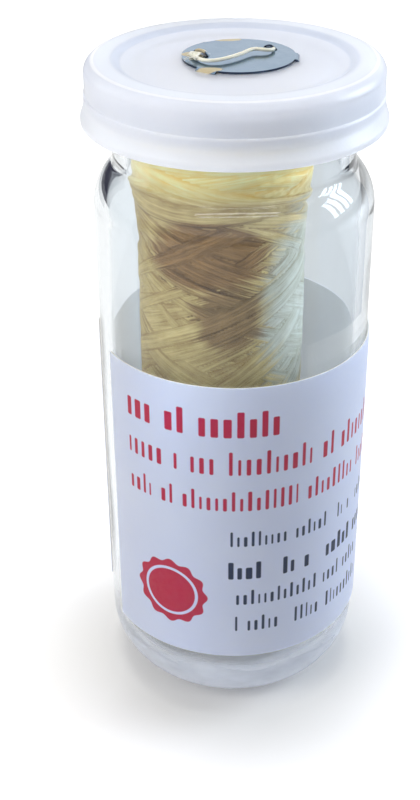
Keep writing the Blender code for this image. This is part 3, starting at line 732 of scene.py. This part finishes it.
def turns_finish():
    """Waxed silk on the bobbin: olive at the left and khaki low, with painted light making the loose
    top yellow and painted sheen making the right grey.

    Two brown patches of painted shade lie in front, with edges that follow the bundles, and
    painted shade darkens the edges of each bundle.
    """
    silk = Finish("waxed_silk_turns")
    fibres, drift, across = fibre_pattern(silk, 8.0)
    across = silk.math("FRACT", silk.math("ADD", across, 0.5))
    edge = silk.away_from(0.5, across)
    patches = silk.noise(silk.object_place(), 160.0)
    mottle = silk.noise(silk.object_place(), 900.0, detail=2.0)
    shade = silk.math("MULTIPLY_ADD", fibres, 0.6, silk.times(drift, 0.25))
    shade = silk.math("MULTIPLY_ADD", patches, 0.2, shade)
    shade = silk.math("MULTIPLY_ADD", mottle, 0.2, shade)
    # Painted shade at each bundle's edges.
    shade = silk.math("MULTIPLY_ADD", silk.spread(edge, 0.32, 0.5), -PAINTED_EDGE_SHADE, shade)
    shade = silk.spread(shade, 0.46, 0.76)
    ragged = silk.math("MULTIPLY_ADD", fibres, 0.6, drift)
    colour = silk.mix(shade, (0.31, 0.20, 0.068), (0.73, 0.60, 0.28))
    # The zones paint sheen on the right, shade in front and light on the top, over the silk's khaki foot.
    for centre, radii, depth, share, dark, light in SILK_TONE_AND_LIGHT_ZONES:
        inside = silk.times(zone(silk, centre, radii, ragged, depth), share)
        colour = silk.mix(inside, colour, silk.mix(shade, dark, light))
    waxed(silk, colour, fibres)
    return silk


def strand_finish():
    """The strand up to the cap and over the disc: nearly white dry silk with pale streaks."""
    silk = Finish("waxed_silk_strand")
    fibres = fibre_pattern(silk, 6.0)[0]
    streaks = silk.spread(fibres, 0.35, 0.65)
    waxed(silk, silk.mix(streaks, (0.66, 0.62, 0.46), (0.92, 0.91, 0.82)), fibres)
    return silk


def silk_under_finish():
    """The silk under the bundles, seen in the gaps and on the package's ends: ringed with fine fibres."""
    silk = Finish("waxed_silk_under")
    place = silk.object_place()
    grain = silk.noise(silk.scaled(place, (1.0, 1.0, 5.0)), 500.0, detail=5.0)
    streaks = silk.spread(grain, 0.3, 0.7)
    silk.set(
        Base_Color=silk.mix(streaks, (0.42, 0.30, 0.13), (0.76, 0.64, 0.34)),
        Roughness=0.6,
        Sheen_Weight=0.2,
        Normal=silk.bump(grain, 0.6, 0.0001),
    )
    return silk


def card_finish():
    """Wound card: matt, with faint upright fibres."""
    card = Finish("core_card")
    place = card.object_place()
    fibres = card.noise(card.scaled(place, (1.0, 1.0, 0.25)), 1500.0, detail=5.0)
    card.set(
        Base_Color=card.mix(fibres, (0.50, 0.43, 0.32), (0.70, 0.62, 0.48)),
        Roughness=0.85,
        Normal=card.bump(fibres, 0.3, 0.00005),
    )
    return card


# Pieces


def vial_profile():
    """The vial's section, axis to axis: inner floor, inner wall, rim, outer wall, heel and push-up.

    The push-up is a dome, as high as its depth times (1 - s^2)^2 at a share s of its radius.
    """
    reach = SHOULDER_RADIUS + SHOULDER_FILLET
    sweep = math.degrees(math.acos(1 - (VIAL_RADIUS - NECK_RADIUS) / reach))
    shoulder_base = NECK_BASE - reach * math.sin(math.radians(sweep))
    shoulder_r = VIAL_RADIUS - SHOULDER_RADIUS
    fillet_r = NECK_RADIUS + SHOULDER_FILLET
    inner_wall = VIAL_RADIUS - VIAL_WALL
    bore = NECK_RADIUS - VIAL_WALL
    under = (RIM_RADIUS - NECK_RADIUS) / 2
    rim_base = VIAL_HEIGHT - RIM_HEIGHT
    share = np.linspace(1, 0, 14)
    dome = np.c_[PUSH_UP_RADIUS * share, PUSH_UP_DEPTH * (1 - share**2) ** 2]
    return even_profile(
        0.35,
        (0.0, VIAL_FLOOR),
        rounded(inner_wall, VIAL_FLOOR, HEEL_RADIUS - VIAL_WALL, -90, 0, 20),
        arc(shoulder_r, shoulder_base, SHOULDER_RADIUS - VIAL_WALL, 0, sweep),
        arc(fillet_r, NECK_BASE, SHOULDER_FILLET + VIAL_WALL, 180 + sweep, 180),
        rounded(bore, VIAL_HEIGHT, BORE_EDGE, 180, 90, 8),
        rounded(RIM_RADIUS, VIAL_HEIGHT, RIM_EDGE, 90, 0, 10),
        rounded(RIM_RADIUS, rim_base, under, 0, -90, 8),
        arc(NECK_RADIUS + under, rim_base - under, under, 90, 180, 8),
        arc(fillet_r, NECK_BASE, SHOULDER_FILLET, 180, 180 + sweep),
        arc(shoulder_r, shoulder_base, SHOULDER_RADIUS, sweep, 0, 20),
        rounded(VIAL_RADIUS, 0.0, HEEL_RADIUS, 0, -90, 24),
        dome,
    )


def cap_profile():
    """The cap's section, axis to axis: dished panel, crest, stepped skirt, lip, bead, groove and plug.

    The recess rises to the crest as s^2 (3 - 2 s), and the flare widens as s to FLARE_BEND, with
    s from 0 to 1.
    """
    plug_inner = PLUG_RADIUS - PLUG_WALL
    bead_base = CAP_BASE + BEAD_LEAD
    bead_top = bead_base + BEAD_HEIGHT
    edge = LEDGE_RADIUS - SKIRT_RADIUS
    fall = np.linspace(0, 1, 9)
    flare_r = LEDGE_RADIUS + (FLARE_RADIUS - LEDGE_RADIUS) * fall**FLARE_BEND
    flare = np.c_[flare_r, FLARE_TOP + (FLARE_BASE - FLARE_TOP) * fall]
    ease = np.linspace(0, 1, 12)
    rise = ease * ease * (3 - 2 * ease)
    recess = np.c_[RECESS_RADIUS + RECESS_EASE * ease, PANEL_TOP + (CAP_TOP - PANEL_TOP) * rise]
    return even_profile(
        0.25,
        (0.0, PANEL_TOP),
        recess,
        rounded(SKIRT_RADIUS, CAP_TOP, CREST_EDGE, 90, 0, 14),
        arc(LEDGE_RADIUS, SKIRT_BASE, edge, 180, 270, 4),
        flare,
        rounded(FLARE_RADIUS, CAP_BASE, LIP_EDGE, 0, -90, 8),
        rounded(FLARE_RADIUS - LIP_WALL, CAP_BASE, LIP_INNER_EDGE, -90, -140, 4),
        (BEAD_RADIUS, bead_base),
        (BEAD_RADIUS, bead_top),
        (GROOVE_RADIUS, bead_top + BEAD_HEIGHT),
        rounded(GROOVE_RADIUS, GROOVE_TOP, GROOVE_EDGE, 0, 90, 6),
        rounded(PLUG_RADIUS, GROOVE_TOP, GROOVE_CORNER, 90, 180, 5),
        (PLUG_RADIUS, PLUG_BASE + PLUG_TAPER_RISE),
        rounded(PLUG_RADIUS - PLUG_TAPER, PLUG_BASE, PLUG_EDGE, 0, -90, 6),
        rounded(plug_inner, PLUG_BASE, PLUG_INNER_EDGE, -90, -180, 5),
        rounded(plug_inner, PANEL_UNDERSIDE, PANEL_FILLET, 0, 90, 6),
        (0.0, PANEL_UNDERSIDE),
    )


def make_label():
    """A strip on the glass: point = (r cos a, r sin a, z), with r at the paper's two faces."""
    columns, rows = LABEL_GRID
    height = np.linspace(LABEL_BOTTOM, LABEL_TOP, rows + 1)
    share, z = np.meshgrid(np.linspace(0, 1, columns + 1), height)
    angle = LABEL_START + LABEL_SPAN * share
    sides = [(r * np.cos(angle), r * np.sin(angle), z) for r in (LABEL_INSIDE, LABEL_OUTSIDE)]
    verts = np.stack(sides).transpose(0, 2, 3, 1).reshape(-1, 3)
    count = z.size
    inner = np.arange(count).reshape(z.shape)
    outer = inner + count

    def quads(grid):
        corners = [grid[:-1, :-1], grid[:-1, 1:], grid[1:, 1:], grid[1:, :-1]]
        return np.stack(corners, axis=2).reshape(-1, 4)

    rim_inner = np.r_[inner[0, :-1], inner[:-1, -1], inner[-1, :0:-1], inner[:0:-1, 0]]
    rim_after = np.roll(rim_inner, -1)
    edge = np.stack([rim_inner, rim_after, rim_after + count, rim_inner + count], axis=1)
    faces = np.vstack([quads(outer), quads(inner)[:, ::-1], edge])
    uv = np.c_[(angle.ravel() - LABEL_START) * VIAL_RADIUS, z.ravel() - LABEL_BOTTOM]
    # The inner face takes its pattern from far above the print, so it is blank.
    label = piece("label_strip", verts, [faces], np.vstack([uv + (0.0, BACK_PATTERN), uv]))
    label.data.set_sharp_from_angle(angle=math.radians(40))
    return label


def winding_line(seed):
    """The way of the flat bundle: its angle, height (millimetres), width and pass number.

    The angle grows evenly while the height runs between the package's ends, and each pass has its
    own number of turns. Along a pass the height share is t - END_EASE sin 2 pi t, so the bundles lie
    flatter near the ends and steeper half way. The last turns sway loosely round the top. The
    bundle narrows and widens along its way, as the strands in it bunch and spread.
    """
    random = np.random.default_rng(seed)
    turns = random.uniform(*TURNS_RANGE, PASSES)
    runs, angle = [], 0.0
    for number in range(PASSES):
        t = np.linspace(0, 1, int(turns[number] * STEPS_PER_TURN), endpoint=False)
        sweep = 2 * np.pi * turns[number]
        eased = t - END_EASE * np.sin(2 * np.pi * t)
        share = eased if number % 2 else 1 - eased
        runs.append((angle + sweep * t, share, np.full(len(t), number)))
        angle += sweep
    t = np.linspace(0, 1, int(LOOSE_TURNS * STEPS_PER_TURN))
    share = 1 - LOOSE_SWAY * (1 - np.cos(2 * np.pi * LOOSE_WAVES * t))
    runs.append((angle + 2 * np.pi * LOOSE_TURNS * t, share, PASSES + np.floor(LOOSE_TURNS * t)))
    angle, share, number = np.concatenate(runs, axis=1)
    count = len(angle)
    share = np.clip(share + BUNDLE_WANDER * slow_noise(count, PASSES * 5, seed + 1), 0.0, 1.0)
    near = np.minimum(share, 1 - share)
    width = BUNDLE_WIDTH * (1 + BUNDLE_SPREAD * slow_noise(count, PASSES * 6, seed + 5))
    narrower_at_ends = np.interp(near, [0.0, 0.05, 0.15], [0.8, 0.9, 1.0])
    wider_at_top = np.interp(share, [0.8, 0.92], [1.0, 1.25])
    width *= narrower_at_ends * wider_at_top
    reach = PACKAGE_TOP - PACKAGE_BOTTOM - BUNDLE_WIDTH
    height = PACKAGE_BOTTOM + BUNDLE_WIDTH / 2 + reach * share
    return angle, height, width, number


def make_silk(name, seed):
    """The wound silk's outside, as one surface: point = (r cos a + shift, r sin a, z).

    The shift is the bobbin's place left of the vial's axis, and less where the loose turns bulge.
    r is the package's radius, softened at both ends, plus the relief of the bundles. They are laid
    down one turn after the other, each over the ones before: with x from -1 to 1 across a bundle,
    it stands LAYER_RISE * order + BUNDLE_CROWN (1 - x^4) high, with a crown LOOSE_CROWN times as
    high on the loose turns. The pattern's U runs along each bundle in millimetres, and V once
    across it, and V is PATTERN_STEP more from one bundle to the next.
    """
    angle, height, width, number = winding_line(seed)
    columns, rows = SILK_COLUMNS, SILK_ROWS
    step = 2 * np.pi / columns
    turn_count = int(angle[-1] / (2 * np.pi))
    grid_angle = step * np.arange(turn_count * columns)
    centre = np.interp(grid_angle, angle, height)
    wide = np.interp(grid_angle, angle, width)
    slope = np.gradient(centre, step) / PACKAGE_RADIUS
    level = slope / np.sqrt(1 + slope**2)
    steep = 1 / np.sqrt(1 + slope**2)
    along = np.r_[0, np.cumsum(PACKAGE_RADIUS * step / steep[1:])]
    bundle = number[np.searchsorted(angle, grid_angle).clip(0, len(number) - 1)]
    runs = (centre, wide, level, steep, along, bundle)
    centre, wide, level, steep, along, bundle = (run.reshape(turn_count, columns, 1) for run in runs)

    z = np.linspace(PACKAGE_BOTTOM, PACKAGE_TOP, rows)
    relief = np.zeros((columns, rows))
    u, v, v_up, v_round = (np.zeros((columns, rows)) for _ in range(4))
    for turn in range(turn_count):
        x = 2 * (z - centre[turn]) * steep[turn] / wide[turn]
        on = np.abs(x) < 1
        crown = BUNDLE_CROWN * (1 - x**4) * np.where(bundle[turn] < PASSES, 1.0, LOOSE_CROWN)
        relief = np.where(on, LAYER_RISE * turn / turn_count + crown, relief)
        u = np.where(on, along[turn] + (z - centre[turn]) * level[turn], u)
        v = np.where(on, x / 2 + PATTERN_STEP * bundle[turn], v)
        v_up = np.where(on, steep[turn] / wide[turn], v_up)
        v_round = np.where(on, -level[turn] / wide[turn] * PACKAGE_RADIUS, v_round)
    for axis in (0, 1):
        before, after = np.roll(relief, 1, axis), np.roll(relief, -1, axis)
        relief = relief / 2 + (before + after) / 4

    share = (z - PACKAGE_BOTTOM) / (PACKAGE_TOP - PACKAGE_BOTTOM)
    loose = LOOSE_BULGE * np.clip((share - LOOSE_START) / LOOSE_REACH, 0, 1) ** 2
    crown = PACKAGE_CROWN * np.clip((share - CROWN_START) / CROWN_REACH, 0, 1) ** 2 + loose
    to_end = np.clip(np.minimum(z - PACKAGE_BOTTOM, PACKAGE_TOP - z) / END_ROUND, 0, 1)
    softened = END_ROUND * (1 - np.sqrt(1 - (1 - to_end) ** 2))
    radius = PACKAGE_RADIUS - LAYER_RISE - BUNDLE_CROWN + relief + crown - softened
    shift = loose - BOBBIN_LEAN
    radius = np.hstack([radius, np.full((columns, 2), SILK_INSIDE)])
    z = np.r_[z, PACKAGE_TOP - END_ROUND, PACKAGE_BOTTOM + END_ROUND]
    shift = np.r_[shift, -BOBBIN_LEAN, -BOBBIN_LEAN]
    a = (step * np.arange(columns))[:, None]
    z = np.broadcast_to(z, radius.shape)
    verts = np.stack([radius * np.cos(a) + shift, radius * np.sin(a), z], axis=2)
    index = np.arange(columns * (rows + 2)).reshape(columns, rows + 2)
    beside = np.roll(index, -1, axis=0)
    quads = np.stack([index, beside, np.roll(beside, -1, axis=1), np.roll(index, -1, axis=1)], axis=2)
    silk = piece(name, verts.reshape(-1, 3), [quads.reshape(-1, 4)])
    give_bundle_pattern(silk.data, (u, v, v_up, v_round), step, z[0, 1] - z[0, 0])
    return silk


def give_bundle_pattern(mesh, pattern, step, rise):
    """Each face takes the pattern of the bundle at its first corner, carried on to the other three."""
    columns, rows = pattern[0].shape
    point = np.empty(len(mesh.loops), np.int32)
    mesh.loops.foreach_get("vertex_index", point)
    point = point.reshape(-1, 4)
    first = np.arange(len(point))
    column, row = first // (rows + 2), np.minimum(first % (rows + 2), rows - 1)
    to_column = (point // (rows + 2) - column[:, None]) % columns
    to_row = (point % (rows + 2) - row[:, None]).clip(0, 1)
    u, v, v_up, v_round = (part[column, row][:, None] for part in pattern)
    u = u + to_column * step * PACKAGE_RADIUS
    v = v + to_row * rise * v_up + to_column * step * v_round
    layer = mesh.uv_layers.new(name="Pattern")
    layer.data.foreach_set("uv", np.stack([u, v], axis=2).astype(np.float32).ravel())


def package_loop():
    """The section of the silk under the bundles, as a closed loop with softened ends."""
    inner = CORE_RADIUS + UNDER_GAP_INSIDE
    outer = SILK_INSIDE - UNDER_GAP_OUTSIDE
    top = PACKAGE_TOP - UNDER_SETBACK
    bottom = PACKAGE_BOTTOM + UNDER_SETBACK
    return even_profile(
        0.5,
        (inner, bottom + UNDER_CORNER),
        (inner, top - UNDER_CORNER),
        rounded(outer, top, UNDER_EDGE, 90, 0, 10),
        rounded(outer, bottom, UNDER_EDGE, 0, -90, 10),
    )


def core_loop():
    """The core's section, as a closed loop: a plain wall with the edges of its top cut off."""
    bore = CORE_RADIUS - CORE_WALL
    return even_profile(
        0.5,
        (bore, CORE_BOTTOM),
        (bore, CORE_TOP - CORE_EDGE),
        (bore + CORE_EDGE, CORE_TOP),
        (CORE_RADIUS - CORE_EDGE, CORE_TOP),
        (CORE_RADIUS, CORE_TOP - CORE_EDGE),
        (CORE_RADIUS, CORE_BOTTOM),
    )


# The tail's route: x and y as shares of the disc's radius, height above the disc in millimetres.
TAIL_ROUTE = (
    (0.600, 0.305, -0.25),
    (0.606, 0.292, 0.02),
    (0.612, 0.240, 0.17),
    (0.590, 0.155, 0.20),
    (0.515, 0.095, 0.25),
    (0.413, 0.090, 0.30),
    (0.283, 0.105, 0.33),
    (0.173, 0.005, 0.33),
    (0.063, -0.152, 0.32),
    (-0.044, -0.271, 0.31),
    (-0.152, -0.373, 0.30),
    (-0.279, -0.467, 0.28),
    (-0.386, -0.510, 0.26),
    (-0.492, -0.524, 0.24),
    (-0.578, -0.493, 0.22),
    (-0.655, -0.425, 0.20),
    (-0.720, -0.330, 0.20),
    (-0.757, -0.220, 0.19),
    (-0.770, -0.100, 0.19),
    (-0.745, 0.020, 0.20),
)


def on_disc(x, y, height):
    """A place from shares of the disc's radius and a height above the disc in millimetres."""
    return DISC_SHIFT[0] + x * DISC_RADIUS, DISC_SHIFT[1] + y * DISC_RADIUS, DISC_TOP + height


def make_tail():
    """The strand over the disc: a slightly flat oval that spreads into the cut end by the lip.

    Past FRAY_START its width and thickness change as s^2 (3 - 2 s), with s from 0 to 1. Fine
    fibres bend away from it near its end.
    """
    path = smooth_path([on_disc(*point) for point in TAIL_ROUTE], 150)
    share = np.linspace(0, 1, len(path))
    width = STRAND_WIDTH * (1 + STRAND_WANDER * slow_noise(len(path), 12, 5))
    width = width * np.interp(share, [0, 0.12, 0.3, 0.8, 1], [0.7, 0.8, 1.1, 1.0, 0.9])
    spread = np.clip((share - FRAY_START) / FRAY_REACH, 0, 1)
    spread = spread * spread * (3 - 2 * spread)
    width = width * (1 + FRAY_WIDER * spread)
    thickness = STRAND_THICKNESS * (1 - FRAY_THINNER * spread)
    upright = (0.0, 0.0, 1.0)
    pieces = [swept("strand", path, upright, width, thickness, 14)]
    random = np.random.default_rng(11)
    for fibre in range(FIBRE_COUNT):
        start = path[int(random.uniform(0.78, 0.97) * len(path))]
        heading = np.array([random.uniform(-1.0, -0.2), random.uniform(-1.0, 0.2), 0.0])
        reach = random.uniform(0.5, 1.1)
        bend = np.array([random.uniform(-0.3, 0.3), random.uniform(-0.3, 0.3), 0.12])
        bends = ((0.0, 0.0), (0.4, 1.0), (0.8, 0.4), (1.0, 0.0))
        points = [start + heading * reach * far + bend * aside for far, aside in bends]
        line = smooth_path(points, 14)
        line[:, 2] = np.maximum(line[:, 2], DISC_TOP + FIBRE_LIFT)
        pieces.append(swept(f"fibre_{fibre}", line, upright, FIBRE_WIDTH, FIBRE_THICKNESS, 5))
    return join("floss_on_disc", pieces)


def make_lead():
    """The strand from the last turn of the bobbin up into the cap."""
    x, y = math.cos(LEAD_TURN), math.sin(LEAD_TURN)
    start = np.array([PACKAGE_RADIUS * x - BOBBIN_LEAN, PACKAGE_RADIUS * y, PACKAGE_TOP - LEAD_DROP])
    onward = np.array([-y, x, LEAD_RISE])
    below = np.array(LEAD_BELOW)
    clear = start + onward * LEAD_PULL
    route = [start, clear, (clear + below) / 2 + LEAD_BULGE, below, on_disc(*TAIL_ROUTE[0])]
    path = smooth_path(route, 60)
    return swept("floss_to_cap", path, (0.3, -1.0, 0.0), LEAD_WIDTH, LEAD_WIDTH * LEAD_FLATNESS, 12)


# The studio


FLOOR_HALF = 3000.0
# How much paler than its paint the floor looks: from one distance to another in metres, from one
# strength to another. The first goes from left to right, the others outwards.
SIDE_LIFT = (-0.012, 0.012, 0.6, 0.0)
NEAR_LIFT = (0.012, 0.022, 0.02, 0.32)
FAR_LIFT = (0.06, 0.4, 0.0, 0.6)
SCREEN_STEPS = 24
WINDOW = (225.0, 60.0, 118.0)
WINDOW_PANES = 4
PANE_PITCH = 30.0


def stage_piece(name, points, faces, paint):
    """A floor or screen, which isn't part of the object, from points in millimetres."""
    mesh = bpy.data.meshes.new(name)
    mesh.from_pydata((np.array(points) * MM).tolist(), [], faces)
    made = add_object(name, mesh)
    paint.give(made)
    return made


def make_floor():
    """A plain pale plane with the object's shadow on it, which looks white farther out.

    Through the glass it looks a little darker on the right.
    """
    paint = Finish("pale_floor")
    paint.set(Base_Color=(0.80, 0.79, 0.77), Roughness=0.9, Specular_IOR_Level=0.2)
    rays = paint.node("ShaderNodeLightPath").node.outputs
    through = paint.math("MAXIMUM", rays["Is Transmission Ray"], rays["Is Glossy Ray"])
    side = paint.parts(paint.object_place())[0]
    through = paint.times(through, paint.spread(side, *SIDE_LIFT))
    seen = paint.math("MAXIMUM", rays["Is Camera Ray"], through)
    away = paint.length(paint.object_place())
    lift = paint.math("ADD", paint.spread(away, *NEAR_LIFT), paint.spread(away, *FAR_LIFT))
    lift = paint.times(seen, lift)
    paint.set(Emission_Color=(1.0, 1.0, 1.0), Emission_Strength=lift)
    corners = [(-1, -1, 0), (1, -1, 0), (1, 1, 0), (-1, 1, 0)]
    stage_piece("studio_floor", np.array(corners) * FLOOR_HALF, [(0, 1, 2, 3)], paint)


def make_world():
    """A white surround for the camera, glass and steel, and a softer one for the light it gives."""
    world = bpy.data.worlds.new("studio")
    bpy.context.scene.world = world
    world.use_nodes = True
    net = Net(world.node_tree)
    net.nodes.clear()
    rays = net.node("ShaderNodeLightPath").node.outputs
    seen = net.math("MAXIMUM", rays["Is Camera Ray"], rays["Is Glossy Ray"])
    seen = net.math("MAXIMUM", seen, rays["Is Transmission Ray"])
    soft = net.node("ShaderNodeBackground", Color=(0.96, 0.98, 1.0), Strength=0.22)
    white = net.node("ShaderNodeBackground", Color=(1.0, 1.0, 1.0), Strength=1.0)
    out = net.nodes.new("ShaderNodeOutputWorld")
    net.put(out.inputs[0], net.node("ShaderNodeMixShader", seen, soft, white))


def facing(place, target):
    """Right, up and back unit vectors of a thing at place that faces the target."""
    back = np.array(place, float) - np.array(target, float)
    back /= np.linalg.norm(back)
    right = np.cross((0, 0, 1), back)
    right /= np.linalg.norm(right)
    return right, np.cross(back, right), back


def stand(obj, place, axes):
    """Puts an object at a place (millimetres), with its own X, Y and Z along the axes."""
    for row in range(3):
        for column, axis in enumerate(axes):
            obj.matrix_world[row][column] = axis[row]
        obj.matrix_world[row][3] = place[row] * MM


def make_lamp(name, place, target, width, height, power, colour=(1.0, 1.0, 1.0)):
    """A soft rectangular lamp at place (millimetres) that faces the target."""
    light = bpy.data.lights.new(name, "AREA")
    light.shape = "RECTANGLE"
    light.size = width * MM
    light.size_y = height * MM
    light.energy = power
    light.color = colour
    lamp = add_object(name, light)
    stand(lamp, place, facing(place, target))
    return lamp


def make_screen(name, start, end, radius, low, high, colour, through=False):
    """A curved screen round the axis, from one angle to another in degrees.

    It shows only in gloss, and in glass where asked, as a photographer's card would.
    """
    angle = np.radians(np.linspace(start, end, SCREEN_STEPS + 1))
    x, y = radius * np.cos(angle), radius * np.sin(angle)
    rows = [np.stack([x, y, np.full_like(x, z)], axis=1) for z in (low, high)]
    above = SCREEN_STEPS + 1
    faces = [(i, i + 1, i + 1 + above, i + above) for i in range(SCREEN_STEPS)]
    paint = Finish(name)
    paint.set(Base_Color=(0.0, 0.0, 0.0), Emission_Color=colour, Emission_Strength=1.0)
    screen = stage_piece(name, np.vstack(rows), faces, paint)
    screen.visible_camera = screen.visible_diffuse = screen.visible_shadow = False
    screen.visible_transmission = through


def make_camera():
    """The camera, fitted to the photograph: place, pitch, yaw and roll, and its lens."""
    pitch, yaw, roll = math.radians(30.98), math.radians(-1.16), math.radians(-0.31)
    level = math.cos(pitch)
    forward = np.array([math.sin(yaw) * level, math.cos(yaw) * level, -math.sin(pitch)])
    right = np.array([math.cos(yaw), -math.sin(yaw), 0.0])
    up = np.cross(right, forward)
    turn, lean = math.cos(roll), math.sin(roll)
    right, up = turn * right + lean * up, turn * up - lean * right
    data = bpy.data.cameras.new("camera")
    data.sensor_width = 36.0
    data.lens = 59.66
    data.clip_start = 0.005
    camera = add_object("camera", data)
    stand(camera, (0.0, -97.54, 84.448), (right, up, -forward))
    bpy.context.scene.camera = camera


def dress(made, finish, node, body):
    """Gives a piece its finish, lets it stand for a CAD node and makes it ride on a body."""
    finish.give(made)
    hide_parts(node)
    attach(made, body)


def build():
    make_camera()
    glass, cap_plastic, steel = glass_finish(), cap_finish(), steel_finish()
    silk, strand, card = turns_finish(), strand_finish(), card_finish()
    dress(turned("vial_glass", vial_profile()), glass, "glass_vial", "vial")
    dress(turned("cap_shell", cap_profile()), cap_plastic, "snap_cap", "cap")
    dress(make_label(), label_finish(), "vial_label", "vial")
    steel.give(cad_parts["cutter_disc"])
    core = turned_ring("core_tube", core_loop(), 128)
    dress(core, card, "bobbin_core", "bobbin")
    under = turned_ring("silk_under", package_loop(), 96)
    dress(under, silk_under_finish(), "wound_floss", "bobbin")
    dress(make_silk("silk_turns", 3), silk, "floss_outer_turns", "bobbin")
    dress(make_tail(), strand, "floss_tail", "cap")
    lead = make_lead()
    strand.give(lead)
    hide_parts("floss_lead")
    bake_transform(lead)

    make_floor()
    make_world()
    aim = (0.0, 0.0, 30.0)
    key = make_lamp("key", (-30, 110, 590), aim, 260, 260, 1.87)
    fill = make_lamp("fill", (-215, -130, 140), aim, 160, 200, 0.45, (1.0, 0.98, 0.96))
    for lamp in (key, fill):
        lamp.visible_glossy = False
        lamp.visible_transmission = False
    for pane in range(WINDOW_PANES):
        aside = (pane - (WINDOW_PANES - 1) / 2) * PANE_PITCH
        place = WINDOW + aside * facing(WINDOW, aim)[0]
        make_lamp(f"window_{pane}", place, aim, 20, 120, 0.11, (0.80, 0.89, 1.0))
    make_lamp("crest_light", (10, -150, 275), aim, 300, 14, 0.07)
    make_screen("front_screen", 190, 330, 66.0, 0.5, 60.0, (0.16, 0.17, 0.19))
    make_screen("right_screen", 330, 400, 75.0, 0.5, 110.0, (0.16, 0.20, 0.27))
    make_screen("dark_screen", 112, 148, 120.0, 25.0, 200.0, (0.012, 0.010, 0.03), through=True)
    bpy.context.scene.view_settings.view_transform = "Standard"


build()
